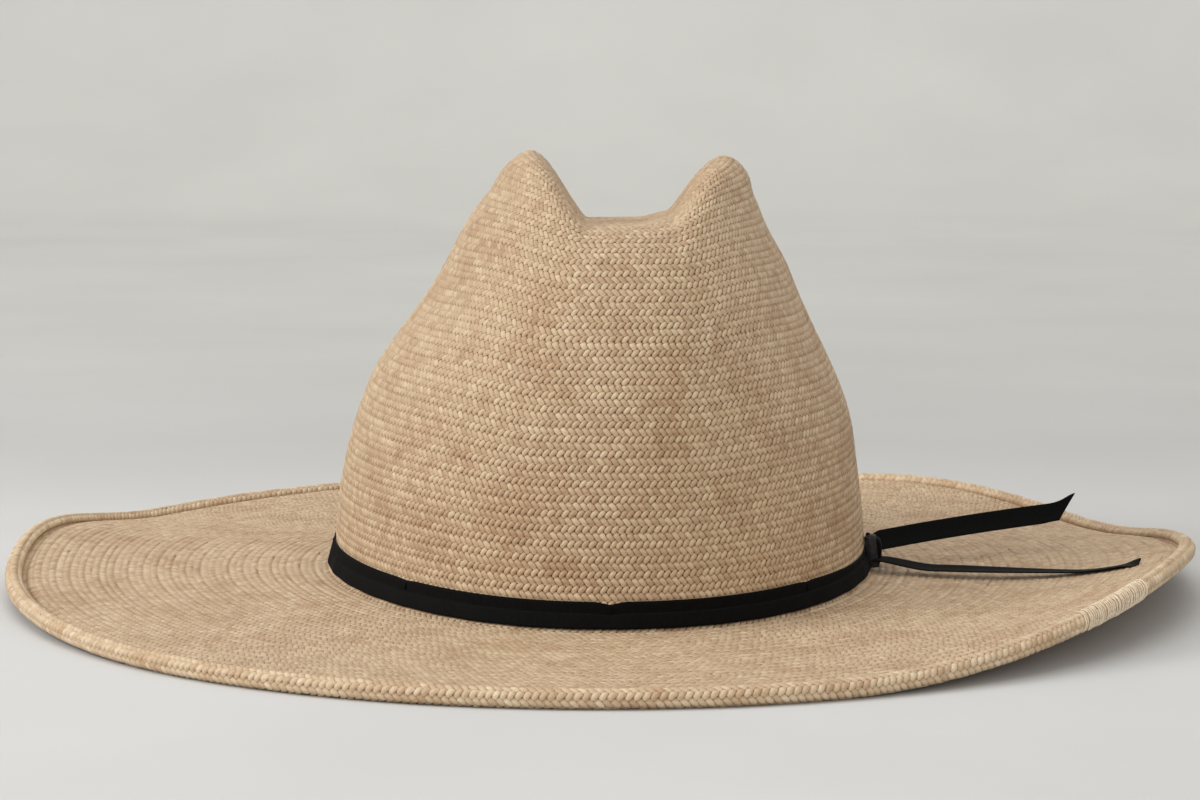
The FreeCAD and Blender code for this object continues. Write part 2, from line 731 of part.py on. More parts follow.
def make_reed():
    """A plastic rod in a cloth tape, under the leather's lower edge."""
    hole = "(sizes.reed_diameter/2 + sizes.rod_gap)"
    tape = "(%s + sizes.tape_thickness)" % hole
    inset = "- sizes.straw_thickness - sizes.soft_gap - %s" % tape
    halves = ["(sizes.crown_width/2 %s)" % inset, "(sizes.crown_length/2 %s)" % inset]
    rod = [("Additive", "sizes.reed_diameter/2")]
    sleeve = [("Additive", tape), ("Subtractive", hole)]
    for name, steps in (("sweatband_reed", rod), ("reed_tape", sleeve)):
        body = new_body(name)
        for kind, radius in steps:
            path = new_sketch(body, "XY_Plane", "%s_%s_path" % (name, kind))
            bound_oval(path, *halves)
            section = new_sketch(body, "XZ_Plane", "%s_%s_section" % (name, kind))
            bound_circle(section, halves[0], radius)
            pipe = body.newObject("PartDesign::%sPipe" % kind, "%s_%s" % (name, kind))
            pipe.Profile = section
            pipe.Spine = (path, [])
            doc.recompute()
        body.setExpression("Placement.Base.z", "sizes.reed_height")
        keep(body, name)


def leather_point(angle, height, clear):
    """A point inside the sweatband, that far clear of its inner face."""
    low, high = size("sweatband_base_height"), size("sweatband_base_height") + size("sweatband_height")
    share = (height - low) / (high - low)
    shares = [dome_share(end, size("straw_thickness")) for end in (low, high)]
    reach = shares[0] + (shares[1] - shares[0]) * share
    inset = size("soft_gap") + size("leather_thickness") + clear
    return on_ellipse(angle, (size("crown_width") / 2 - size("straw_thickness")) * reach - inset,
                      (size("crown_length") / 2 - size("straw_thickness")) * reach - inset, height)


def on_leather(angle, height, width):
    """Places a flat piece of that width against the sweatband's inner face, with its back to the leather."""
    curve_radius = (size("crown_width") / 2) ** 2 / (size("crown_length") / 2)
    clear = width ** 2 / 8 / curve_radius + size("soft_gap")
    up = leather_point(angle, height + 1, clear) - leather_point(angle, height - 1, clear)
    along = leather_point(angle + 0.5, height, clear) - leather_point(angle - 0.5, height, clear)
    outward = along.cross(up)
    return Placement(leather_point(angle, height, clear), Rotation(outward.cross(up), outward, up, "ZXY"))


def make_sweatband_threads():
    clear = size("thread_diameter") / 2 + size("fit_gap")
    height = size("sweatband_base_height") + size("seam_margin")
    bars = []
    for index in range(STITCH_COUNT):
        angle = 90 + (index + 0.5) * 360.0 / STITCH_COUNT
        middle = leather_point(angle, height, clear)
        along = leather_point(angle + 0.5, height, clear) - leather_point(angle - 0.5, height, clear)
        bars.append(thread_bar("sweatband_stitch_%02d" % index, middle, along,
                               "sizes.stitch_length", "sizes.thread_diameter"))
    keep(group("sweatband_stitches", bars), "sweatband_stitches")
    bars = []
    for index in range(JOINT_STITCHES):
        height = size("sweatband_base_height") + size("sweatband_height") * (index + 1) / (JOINT_STITCHES + 1)
        bars.append(thread_bar("joint_stitch_%d" % index, leather_point(90, height, clear), Vector(1, 0, 0),
                               "sizes.stitch_length", "sizes.thread_diameter"))
    keep(group("sweatband_joint_stitches", bars), "sweatband_joint_stitches")


def make_bow():
    """Two loops and a knot, drawn as one outline, over the sweatband's joint."""
    body = new_body("sweatband_bow")
    sketch = new_sketch(body, "XZ_Plane", "bow_outline")
    wide, tall = "sizes.bow_width/2", "sizes.bow_height/2"
    pinch_wide, pinch_tall = "sizes.bow_width/12", "sizes.bow_height/5"
    right = [(pinch_wide, "-" + pinch_tall), (wide, "-" + tall), (wide, tall), (pinch_wide, pinch_tall)]
    left = [("-" + x, y) for x, y in reversed(right)]
    bound_polygon(sketch, right + left)
    pad(body, sketch, "sizes.bow_thickness", "bow_pad")
    height = size("sweatband_base_height") + size("sweatband_height") * BOW_LEVEL
    body.Placement = on_leather(90, height, size("bow_width") + size("thread_diameter"))
    keep(body, "sweatband_bow")


def make_tab():
    body = new_body("size_tab")
    sketch = new_sketch(body, "XZ_Plane", "tab_outline")
    wide, tall = "sizes.tab_width/2", "sizes.tab_height/2"
    bound_polygon(sketch, [("-" + wide, "-" + tall), (wide, "-" + tall), (wide, tall), ("-" + wide, tall)])
    pad(body, sketch, "sizes.tab_thickness", "tab_pad")
    height = size("sweatband_base_height") + size("sweatband_height") * TAB_LEVEL
    body.Placement = on_leather(TAB_ANGLE, height, size("tab_width"))
    keep(body, "size_tab")


def write_parts():
    """Check every object, then write each piece to its own file."""
    doc.recompute()
    for thing in doc.Objects:
        if {"Invalid", "Error"} & set(thing.State):
            raise RuntimeError("%s failed: %s" % (thing.Name, thing.State))
    for piece in parts:
        shape = piece.Shape
        if shape.isNull() or not shape.isValid() or not shape.Solids:
            raise RuntimeError("%s has no valid solid" % piece.Label)
    os.makedirs("parts", exist_ok=True)
    for piece in parts:
        piece.Shape.exportStep(os.path.join("parts", piece.Label + ".step"))
        print("%-26s %3d solids %12.1f mm3" % (piece.Label, len(piece.Shape.Solids), piece.Shape.Volume))


make_crown()
make_brim()
make_edge()
make_splice_stitches()
make_band()
make_knot()
make_standing_tail()
make_lying_tail()
make_sweatband()
make_reed()
make_sweatband_threads()
make_bow()
make_tab()
write_parts()
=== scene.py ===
"""The looks of a woven straw cowboy hat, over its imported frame.

Metres, in the frame's own axes: +Z up, the wearer faces -Y, +X is the wearer's left. Angles round the hat
are counted from +X towards +Y. The straw is woven from real knobs: each sheet of straw is a grid of places,
which weave() covers with rows of slanted knobs, leaning one way in one row and the other way in the next.
"""

import json
import math

import bpy
import numpy as np
from mathutils import Matrix, Vector


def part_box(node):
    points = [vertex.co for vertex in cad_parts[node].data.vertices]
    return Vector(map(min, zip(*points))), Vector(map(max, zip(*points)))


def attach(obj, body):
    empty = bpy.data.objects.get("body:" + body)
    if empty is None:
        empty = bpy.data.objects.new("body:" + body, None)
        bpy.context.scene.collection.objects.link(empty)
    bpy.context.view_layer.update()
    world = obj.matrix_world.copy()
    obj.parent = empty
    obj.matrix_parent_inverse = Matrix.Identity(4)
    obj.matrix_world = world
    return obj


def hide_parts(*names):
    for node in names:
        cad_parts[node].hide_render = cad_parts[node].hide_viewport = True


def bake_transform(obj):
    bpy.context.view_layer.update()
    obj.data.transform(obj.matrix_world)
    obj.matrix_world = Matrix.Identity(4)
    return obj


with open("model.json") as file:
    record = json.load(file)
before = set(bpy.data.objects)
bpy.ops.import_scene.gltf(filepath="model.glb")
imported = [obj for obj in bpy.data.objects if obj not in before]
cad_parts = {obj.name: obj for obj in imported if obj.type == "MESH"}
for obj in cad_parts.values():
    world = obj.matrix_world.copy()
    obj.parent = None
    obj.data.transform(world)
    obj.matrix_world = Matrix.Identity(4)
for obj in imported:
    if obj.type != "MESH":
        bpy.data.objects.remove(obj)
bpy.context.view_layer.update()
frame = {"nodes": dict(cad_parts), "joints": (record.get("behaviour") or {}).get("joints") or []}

random = np.random.default_rng(7)

# ---- sizes, from the frame

MM = 0.001
BRIM_HALF = np.array(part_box("brim_edge_roll")[1][:2])
CROWN_HALF = np.array(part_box("crown")[1][:2])
ROLL_RADIUS = 2.75 * MM
BACK = math.pi / 2  # the angle of the back of the hat
UP = np.array([0, 0, 1.0])
STRAW = 1.8 * MM  # thickness of the woven sheet
DOME = 139.4 * MM  # the crown's full dome, before its crease
LEAN = 7.6 * MM  # the crown's top stands this far to the wearer's left
KNOB = 2.22 * MM  # one knob of straw, along its row
ROW = 2.15 * MM
RELIEF = 0.62 * MM  # depth of the gaps between knobs
RIBBON = 6.4 * MM
RIB = 0.5 * MM  # one rib of the ribbon
TURNS = 900  # places round the hat in each sheet's grid
CROWN_FALLS = 700  # places along each line of the crown, before they are evened out
BRIM_FALLS = 300  # and of the brim
RIBBON_THICKNESS = 0.5 * MM
THREAD = 0.2 * MM  # radius of the sewing thread
BAND_LIFT = 1.6 * MM  # the band's lower edge above the brim
KNOT_TURN = math.radians(-8.5)
TACK_TURNS = np.radians(-88.0 + 45.0 * np.arange(8))

# Where the edge lifts off the table: height in mm, middle and reach in degrees.
EDGE_LIFTS = [(14.3, -22, 50), (4.6, 50, 28), (1.0, 6, 14), (3.4, -174, 46), (5.4, 170, 24)]
SIDE_BREAK = 6.0  # mm; the brim's height at the crown's sides, and how far
BREAK_DIP = 3.7  # it dips at the front and back
BREAK_SAG = 1.5  # and beside the knot
NARROWED = 3.3 * MM  # the brim is this much narrower at each side than a true oval
BRIM_BEND = 2.8  # the brim stays low, and rises late towards its edge
GROOVE = 1.5 * MM  # the dip just inside the edge roll, at the sides

# The dents at the crown's two sides: depth and reach in mm, middle in degrees.
LEFT_DENT = (8.1, 46, -10)
RIGHT_DENT = (4.8, 30, 190)
DENT_HEIGHT = 92 * MM
DENT_SPREAD = 70  # degrees

CREASE_FLOOR = 111 * MM
CREASE_FALL = 0.044  # how steeply the floor falls to the back
CREASE_STEEP = 1.8  # how steeply its walls rise
CREASE_RIGHT = 11.3 * MM  # the floor's reach from the crown's top, to the wearer's right
CREASE_LEFT = 13.2 * MM  # and left

hinges = {joint["name"]: np.array(joint["pos_m"]) for joint in frame["joints"]}


# ---- the hat's form


def lobe(value, middle, reach):
    """A smooth hump: 1 at the middle, 0 from the reach outwards."""
    across = np.minimum(np.abs(value - middle) / reach, 1)
    return np.cos(across * np.pi / 2) ** 2


def around(turn, middle, reach):
    """A lobe round the hat; the middle and the reach are in degrees."""
    return lobe((np.degrees(turn) - middle + 180) % 360 - 180, 0, reach)


def smooth(value, start, end):
    """Eases from 0 at the start to 1 at the end."""
    share = np.clip((value - start) / (end - start), 0, 1)
    return share * share * (3 - 2 * share)


def even_turns(count):
    """Even steps once round a circle."""
    return np.linspace(0, 2 * np.pi, count, endpoint=False)


def unit(vectors):
    """The directions of vectors, each one long."""
    return vectors / np.maximum(np.linalg.norm(vectors, axis=-1, keepdims=True), 1e-12)


def section_places(angle, first, second):
    """The unit circle of a section, from its first direction towards its second."""
    return np.cos(angle)[..., None] * first + np.sin(angle)[..., None] * second


def length_along(line):
    """How far each place of a line is from its start, along the line."""
    return np.concatenate([[0], np.cumsum(np.linalg.norm(np.diff(line, axis=0), axis=1))])


def resampled(line, shares):
    """Places at shares of a line's length."""
    length = length_along(line)
    return np.stack([np.interp(shares * length[-1], length, axis) for axis in line.T], -1)


def length_round(line):
    """Length of a closed line of places."""
    return np.linalg.norm(np.roll(line, -1, 0) - line, axis=1).sum()


def edge_lift(turn):
    """Height of the edge roll's underside above the table."""
    return sum(height * around(turn, middle, reach) for height, middle, reach in EDGE_LIFTS) * MM


def pulled_in(turn):
    """The brim is a little narrower at its sides than a true oval."""
    return NARROWED * (around(turn, 0, 60) + around(turn, 180, 60))


def break_height(turn):
    """Top of the brim where it meets the crown."""
    return (SIDE_BREAK - BREAK_DIP * np.sin(turn) ** 2 - BREAK_SAG * around(turn, -36, 58)) * MM


def dent(turn, height, depth, reach, middle):
    """How far one dent presses the crown's side in, in mm."""
    return depth * lobe(height, DENT_HEIGHT, reach * MM) * around(turn, middle, DENT_SPREAD)


def dome_places(turn, height):
    """The crown's wall before its crease."""
    share = np.sqrt(1 - (height / DOME) ** 2)
    left = dent(turn, height, *LEFT_DENT)
    right = dent(turn, height, *RIGHT_DENT)
    across = LEAN * smooth(height, 30 * MM, 120 * MM) + (right - left) * MM
    return np.stack([CROWN_HALF[0] * share * np.cos(turn) + across,
                     CROWN_HALF[1] * share * np.sin(turn), height + 0 * turn], -1)


def pressed(places):
    """The crease: a trough between two blunt ridges, a little lower at the back."""
    x, y, z = np.moveaxis(places, -1, 0)
    left_reach = 13 * MM * smooth(z, 118 * MM, 131 * MM) - 3 * MM * lobe(z, 110 * MM, 14 * MM)
    right_reach = 16 * MM * smooth(z, 119 * MM, 134 * MM)
    x = x + (x - LEAN) / CROWN_HALF[0] * np.where(x > LEAN, left_reach, right_reach)
    across = np.maximum(np.maximum(LEAN - CREASE_RIGHT - x, x - LEAN - CREASE_LEFT), 0)
    trough = CREASE_FLOOR - CREASE_FALL * y + CREASE_STEEP * (np.hypot(across, 2 * MM) - 2 * MM)
    trough = trough + 2.6 * MM * smooth(x, LEAN + 3 * MM, LEAN + 16 * MM)
    soft = (11 + 6.5 * smooth(x, LEAN, LEAN + 22 * MM)) * MM
    blend = np.clip(0.5 + 0.5 * (trough - z) / soft, 0, 1)
    z = trough * (1 - blend) + z * blend - soft * blend * (1 - blend)
    return np.stack([x, y, z], -1)


def normals_of(places):
    """Outward normals of a sheet, whose first axis goes round the hat and whose second goes outwards."""
    along = np.roll(places, -1, 0) - np.roll(places, 1, 0)
    return unit(np.cross(np.gradient(places, axis=1), along))


def turns_round():
    """The angles of a sheet's lines, from the back of the hat."""
    return even_turns(TURNS)[:, None] + BACK


def rows_along(places, samples):
    """Resamples each line of a sheet so that its rows of knobs are evenly far apart."""
    rows = int(round(np.mean([length_along(line)[-1] for line in places]) / ROW))
    shares = np.linspace(0, 1, rows * samples + 1)
    return np.stack([resampled(line, shares) for line in places])


def even_round(places):
    """Spreads a sheet's lines evenly round the hat, at each row, from the back."""
    shares = np.linspace(0, 1, len(places), endpoint=False)
    rings = np.moveaxis(np.concatenate([places, places[:1]]), 1, 0)
    return np.stack([resampled(ring, shares) for ring in rings], 1)


def crown_sheet(samples):
    """The crown's outer face as a grid of places, from its top down."""
    turn = turns_round()
    slope = np.linspace(0.006, 1, CROWN_FALLS)[None, :] * np.arccos(break_height(turn) / DOME)
    return even_round(rows_along(pressed(dome_places(turn, DOME * np.cos(slope))), samples))


def brim_middle(turn, share):
    """Places in the middle of the brim's thickness, from the crown (0) to the edge roll (1)."""
    tucked_in = 0.9 * MM
    outer = (BRIM_HALF - 2 * ROLL_RADIUS + tucked_in)[:, None, None] - pulled_in(turn)
    half = CROWN_HALF[:, None, None] + (outer - CROWN_HALF[:, None, None]) * share
    inner_height = break_height(turn) - STRAW / 2
    groove = GROOVE * smooth(share, 0.955, 0.985) * (around(turn, 0, 75) + around(turn, 180, 75))
    height = inner_height + (edge_lift(turn) + ROLL_RADIUS - inner_height) * share ** BRIM_BEND - groove
    fillet = 1.3 * MM * np.clip(1 - share / 0.035, 0, 1) ** 2
    return np.stack([half[0] * np.cos(turn), half[1] * np.sin(turn), height + fillet], -1)


def brim_sheet(samples):
    """The middle of the brim's thickness as a grid of places, from the crown outwards."""
    share = np.linspace(0, 1, BRIM_FALLS)[None, :]
    return even_round(rows_along(brim_middle(turns_round(), share), samples))


def roll_centre(turn):
    """Middle of the edge roll's section."""
    half = (BRIM_HALF - ROLL_RADIUS)[:, None] - pulled_in(turn).ravel()
    half = half.reshape((2,) + np.shape(turn))
    return np.stack([half[0] * np.cos(turn), half[1] * np.sin(turn), edge_lift(turn) + ROLL_RADIUS], -1)


def roll_frame(turn):
    """Centre, outward and upward of the edge roll's section."""
    along = unit(roll_centre(turn + 0.005) - roll_centre(turn - 0.005))
    outward = unit(np.cross(along, UP))
    return roll_centre(turn), outward, np.cross(outward, along)


def roll_sheet(rows, samples):
    """The roll's surface, from its inner side over the top, the outer side and the bottom."""
    centre, outward, upward = roll_frame(turns_round())
    section = np.pi - np.linspace(0, 2 * np.pi, rows * samples + 1)[None, :]
    normal = section_places(section, outward, upward)
    return centre + normal * ROLL_RADIUS, normal


# ---- meshes


class Sheet:
    """Collects vertices with their shade values, and faces, for one mesh."""

    def __init__(self):
        self.places = []
        self.values = {"relief": [], "tint": []}
        self.bake = []
        self.faces = []
        self.count = 0

    def add(self, places, relief, tint, bake):
        """Adds vertices and gives their numbers; bake is where they are on the flat map."""
        size = len(places)
        self.places.append(places)
        self.values["relief"].append(np.broadcast_to(relief, size))
        self.values["tint"].append(np.broadcast_to(tint, size))
        self.bake.append(bake)
        self.count += size
        return np.arange(self.count - size, self.count)

    def bridge(self, first, second):
        """Quads between two rings of as many vertices."""
        self.faces.append(np.stack([first, second, np.roll(second, -1), np.roll(first, -1)], 1))

    def zip(self, first, second):
        """Triangles between two rings that start at the same angle but differ in number."""
        m, n = len(first), len(second)
        here, there, faces = 0, 0, []
        while here < m or there < n:
            if there >= n or (here < m and (here + 1) * n <= (there + 1) * m):
                faces.append((first[here % m], second[there % n], first[(here + 1) % m]))
                here += 1
            else:
                faces.append((first[here % m], second[there % n], second[(there + 1) % n]))
                there += 1
        self.faces.append(np.array(faces))

    def fan(self, middle, ring):
        """Triangles from one vertex to a ring."""
        self.faces.append(np.stack([np.full(len(ring), middle), ring, np.roll(ring, -1)], 1))

    def piece(self, name, material):
        """The finished object, welded and smooth, with its shade values and its flat map."""
        mesh = bpy.data.meshes.new(name)
        faces = [face for block in self.faces for face in block.tolist()]
        mesh.from_pydata(np.concatenate(self.places), [], faces)
        for key in ("relief", "tint"):
            layer = mesh.attributes.new(key, "FLOAT", "POINT")
            layer.data.foreach_set("value", np.concatenate(self.values[key]).astype(np.float32))
        corners = np.zeros(len(mesh.loops), np.int32)
        mesh.loops.foreach_get("vertex_index", corners)
        flat = mesh.uv_layers.new(name="OFBake")
        flat.uv.foreach_set("vector", np.concatenate(self.bake)[corners].astype(np.float32).ravel())
        mesh.validate()
        return new_object(name, mesh, material)


def new_object(name, mesh, material):
    """A smooth object in the scene, of one material."""
    piece = bpy.data.objects.new(name, mesh)
    bpy.context.scene.collection.objects.link(piece)
    mesh.materials.append(material)
    mesh.shade_smooth()
    return piece


def new_piece(name, places, faces, material):
    """An object from its places, in a list or grid, and its faces."""
    mesh = bpy.data.meshes.new(name)
    mesh.from_pydata(np.reshape(places, (-1, 3)), [], faces)
    return new_object(name, mesh, material)


def skin(rings, first=0, closed=False):
    """Faces over rings of places, numbered from first, with flat ends unless the rings are closed too."""
    numbers = first + np.arange(rings.shape[0] * rings.shape[1]).reshape(rings.shape[:2])
    here, there = (numbers, np.roll(numbers, -1, 0)) if closed else (numbers[:-1], numbers[1:])
    faces = np.stack([here, np.roll(here, -1, 1), np.roll(there, -1, 1), there], -1).reshape(-1, 4).tolist()
    if not closed:
        faces += [numbers[0][::-1].tolist(), numbers[-1].tolist()]
    return faces


def on_hat(piece, slot, *nodes):
    """Fixes a piece to the hat, in the place of CAD nodes; slot is not used."""
    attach(piece, "hat")
    if nodes:
        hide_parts(*nodes)


# A knob with 4 or with 2 vertices a side: how it swells across its width, how high the border to the next
# row is, and how far each vertex reaches into the next row and sideways, all as shares of a knob.
ACROSS = {4: np.array([0.06, 0.92, 1, 0.92]), 2: np.array([0.3, 1.0])}
BORDER = {4: np.array([0, 0.2, 0, 0.2]), 2: np.array([0.1, 0.1])}
REACH = {4: np.array([0.24, 0, -0.24, 0]), 2: np.array([0.15, -0.15])}
SPREAD = {4: np.array([0, -0.12, 0, 0.12]), 2: np.array([0, 0])}


GOLDEN = (5 ** 0.5 - 1) / 2  # steps round the hat that never meet


def evened(widths):
    """Lets the widths of neighbouring knobs even out."""
    for _ in range(24):
        widths = widths / 2 + (np.roll(widths, 1) + np.roll(widths, -1)) / 4
    return widths


def weave(sheet, places, normals, samples, flat, depth=RELIEF, bow=0.5, lighter_gap_shade=0):
    """Covers a grid of places with rows of knobs; gives the first and the last ring of vertices.

    A knob is samples by samples vertices, slanted by the share bow of its width, the other way in every
    other row, and its ends reach in between the knobs of the next rows. Where the rows grow longer or
    shorter, single knobs are added or dropped, as in real weaving. flat is (x, y, inner radius, outer
    radius) on the flat map. The last argument, from 0 to 1, lightens the painted shade that the straw's
    material lays in the gaps between the knobs, through the relief value.
    """
    lines = np.concatenate([places, normals], -1)
    rows = (places.shape[1] - 1) // samples

    def ring(row_share, shares, height, relief, tint):
        """One ring of vertices; the row share and the rest may differ from vertex to vertex."""
        column = np.clip(row_share * samples, 0, lines.shape[1] - 1) + 0 * shares
        low = np.minimum(column.astype(int), lines.shape[1] - 2)
        around_at = (shares % 1) * len(lines)
        index = around_at.astype(int) % len(lines)
        after = (index + 1) % len(lines)
        part, rest = (around_at % 1)[:, None], (column - low)[:, None]
        found = ((lines[index, low] * (1 - rest) + lines[index, low + 1] * rest) * (1 - part)
                 + (lines[after, low] * (1 - rest) + lines[after, low + 1] * rest) * part)
        spot = found[:, :3] + found[:, 3:] * (height - depth)[:, None]
        radius = flat[2] + (flat[3] - flat[2]) * column / samples / rows
        angle = shares * 2 * np.pi
        bake = np.stack([flat[0] + radius * np.cos(angle), flat[1] + radius * np.sin(angle)], 1)
        # The relief value, lifted by the last argument, sets the painted shade in the gaps between the
        # knobs.
        return sheet.add(spot, lighter_gap_shade + (1 - lighter_gap_shade) * relief, tint, bake)

    knobs, turn = 0, random.random()
    for row in range(rows):
        wanted = max(6, int(round(length_round(lines[:, row * samples + samples // 2, :3]) / KNOB)))
        if not knobs:
            knobs, starts, tint = wanted, 0.0, random.random(wanted)
            widths = np.full(knobs, 1 / knobs)
            evenly = np.arange(knobs * samples) / (knobs * samples)
            below = first = ring(0, evenly, np.zeros(knobs * samples), 0.2, 0.5)
        while knobs > wanted:
            turn += GOLDEN
            dropped = 1 + int(turn % 1 * (knobs - 2))
            at = dropped * samples
            sheet.faces.append(below[at - 1:at + samples + 1][None, ::-1])
            below = np.delete(below, np.arange(at, at + samples))
            widths[dropped - 1] += widths[dropped]
            widths = np.delete(widths, dropped)
            knobs -= 1
        while knobs < wanted:
            turn += GOLDEN
            grown = 1 + int(turn % 1 * (knobs - 2))
            at = (grown + 1) * samples
            share = starts + widths[:grown + 1].sum() - widths[grown] * np.linspace(0.2, 0.05, samples)
            added = ring(row + 0.1, share, np.zeros(samples), 0.1, 0.5)
            wedge = np.concatenate([below[at - 1:at], below[[at % len(below)]], added[::-1]])
            sheet.faces.append(wedge[None, ::-1])
            below = np.insert(below, at, added)
            widths[grown] /= 2
            widths = np.insert(widths, grown, widths[grown])
            knobs += 1
        widths = evened(widths)
        side = 1 if row % 2 else -1
        tint = random.random(knobs).repeat(samples)
        size = np.clip(0.94 + 0.09 * random.standard_normal(knobs), 0.7, 1).repeat(samples)
        drift = 0.05 * random.standard_normal(knobs).repeat(samples)
        reach = np.tile(REACH[samples], knobs) * (1 + 0.25 * random.standard_normal(knobs)).repeat(samples)
        width = widths.repeat(samples)
        corner = starts + (np.concatenate([[0], np.cumsum(widths)[:-1]])).repeat(samples)
        corner = corner + np.tile(np.arange(samples) / samples, knobs) * width
        for part in range(1, samples):
            rise = part / samples
            swell = np.tile(ACROSS[samples], knobs) * (1 - 0.25 * (2 * rise - 1) ** 2)
            bent = reach * ((1 - rise) ** 2 * (row > 0) - rise ** 2 * (row + 1 < rows))
            shares = corner + (side * bow * rise + drift + np.tile(SPREAD[samples], knobs)) * width
            above = ring(row + rise + bent, shares, swell * size * depth, swell, tint)
            sheet.bridge(below, above)
            below = above
        border = np.tile(BORDER[samples], knobs)
        tint = random.random(knobs).repeat(samples)
        bent = np.tile(REACH[samples], knobs) * (row + 1 < rows)
        above = ring(row + 1 + bent, corner, border * depth, border, tint)
        sheet.bridge(below, np.roll(above, -int(side * bow * samples)))
        below = above
    return first, below


# ---- materials


def new_material(name, roughness, **settings):
    """A material with one Principled shader; settings are values of its own sockets."""
    material = bpy.data.materials.new(name)
    material.use_nodes = True
    shader = material.node_tree.nodes["Principled BSDF"]
    shader.inputs["Roughness"].default_value = roughness
    for socket, value in settings.items():
        shader.inputs[socket.replace("_", " ")].default_value = value
    return material, shader


def node(material, kind, inputs=(), **settings):
    """A node with some settings; inputs maps sockets, by name or number, to values or to other outputs."""
    made = material.node_tree.nodes.new("ShaderNode" + kind)
    for key, value in settings.items():
        setattr(made, key, value)
    for socket, value in dict(inputs).items():
        if isinstance(value, bpy.types.NodeSocket):
            material.node_tree.links.new(value, made.inputs[socket])
        else:
            made.inputs[socket].default_value = value
    return made


def ramp(material, factor, stops):
    """A colour ramp; stops are (position, sRGB colour from 0 to 255)."""
    made = node(material, "ValToRGB", {0: factor})
    elements = made.color_ramp.elements
    while len(elements) < len(stops):
        elements.new(0.5)
    for element, (position, colour) in zip(elements, stops):
        element.position = position
        element.color = (*[linear(part) for part in colour], 1)
    return made.outputs["Color"]


def linear(value):
    """The linear value of an sRGB one from 0 to 255."""
    value /= 255
    return value / 12.92 if value <= 0.04045 else ((value + 0.055) / 1.055) ** 2.4


def noise(material, scale, detail=3):
    """Cloudy values over the piece's own coordinates, scale to the metre."""
    where = node(material, "TexCoord").outputs["Object"]
    return node(material, "TexNoise", {"Vector": where, "Scale": scale, "Detail": detail}).outputs["Fac"]


def mixed(material, kind, factor, first, second):
    """Two colours mixed; the factor is a value or an output."""
    made = node(material, "Mix", {0: factor, 6: first, 7: second}, data_type="RGBA", blend_type=kind)
    return made.outputs[2]


def bumped(material, shader, height, strength):
    """A fine grain in the shader's normal, 0.1 mm high."""
    made = node(material, "Bump", {"Height": height, "Strength": strength, "Distance": 0.1 * MM})
    material.node_tree.links.new(made.outputs[0], shader.inputs["Normal"])


def straw_material(name, tones):
    """Dried palm: each knob has its own tone, painted shade darkens the gaps between the knobs, and brown
    patches drift over the hat.
    """
    material, shader = new_material(name, 0.55, Specular_IOR_Level=0.3, Sheen_Weight=0.06)
    tint = node(material, "Attribute", attribute_name="tint").outputs["Fac"]
    relief = node(material, "Attribute", attribute_name="relief").outputs["Fac"]
    knobs = ramp(material, tint, tones)
    patches = ramp(material, noise(material, 60), [(0.36, (222, 204, 188)), (0.52, (255, 255, 255))])
    toned = mixed(material, "MULTIPLY", 0.38, knobs, patches)
    fibres = ramp(material, noise(material, 1700), [(0.3, (228, 220, 210)), (0.7, (255, 255, 255))])
    toned = mixed(material, "MULTIPLY", 0.6, toned, fibres)
    # Painted shade: the relief value darkens the straw's colour in the gaps between the knobs, where shade
    # falls.
    gaps = ramp(material, relief, [(0.0, (44, 30, 20)), (0.14, (122, 96, 74)), (0.32, (228, 216, 202)),
                                   (0.55, (255, 255, 255))])
    colour = mixed(material, "MULTIPLY", 1.0, toned, gaps)
    material.node_tree.links.new(colour, shader.inputs["Base Color"])
    bumped(material, shader, noise(material, 2600, 4), 0.25)
    return material


def cloth_material(name, dark, light, roughness, scale=900, **settings):
    """Woven cloth or leather: two close tones and a fine grain."""
    material, shader = new_material(name, roughness, **settings)
    colour = ramp(material, noise(material, scale), [(0.35, dark), (0.65, light)])
    material.node_tree.links.new(colour, shader.inputs["Base Color"])
    bumped(material, shader, noise(material, scale * 2.4, 4), 0.3)
    return material


straw = straw_material("straw", [
    (0.0, (184, 156, 125)), (0.25, (194, 168, 137)), (0.75, (204, 180, 149)), (1.0, (213, 192, 161))])
# A paler copy of the straw for the edge roll: painted light, which brightens the roll's front as if more
# light fell on it.
painted_lit_edge_straw = straw_material("painted_lit_edge_straw", [
    (0.0, (198, 170, 138)), (0.25, (208, 183, 151)), (0.75, (217, 195, 164)), (1.0, (228, 209, 180))])
ribbon = cloth_material("ribbon", (3, 3, 3), (7, 7, 7), 0.7, Sheen_Weight=0.02, Sheen_Roughness=0.5,
                        Specular_IOR_Level=0.08)
# The knot's turn is the same black ribbon, given a paler grey: painted sheen.
knot_ribbon_painted_sheen = cloth_material("knot_ribbon_painted_sheen", (26, 25, 26), (44, 42, 44), 0.6, Sheen_Weight=0.1,
                             Sheen_Roughness=0.5, Specular_IOR_Level=0.2)
thread_dark = cloth_material("thread_dark", (4, 4, 4), (9, 9, 9), 0.8, Specular_IOR_Level=0.1)
thread_pale = cloth_material("thread_pale", (212, 192, 162), (242, 230, 208), 0.4, 1800)
leather = cloth_material("leather", (126, 88, 60), (150, 110, 78), 0.48, 420, Specular_IOR_Level=0.45)
tape_cloth = cloth_material("tape_cloth", (180, 158, 128), (204, 184, 154), 0.85, 1400)
bow_ribbon = cloth_material("bow_ribbon", (16, 16, 17), (30, 30, 32), 0.5, 1200, Sheen_Weight=0.2)
tab_cloth = cloth_material("tab_cloth", (214, 210, 200), (236, 233, 226), 0.8, 1600)
reed_plastic = cloth_material("reed_plastic", (200, 198, 190), (212, 210, 204), 0.35, 90)
steel = cloth_material("steel", (150, 150, 152), (172, 172, 175), 0.32, 700, Metallic=1.0)
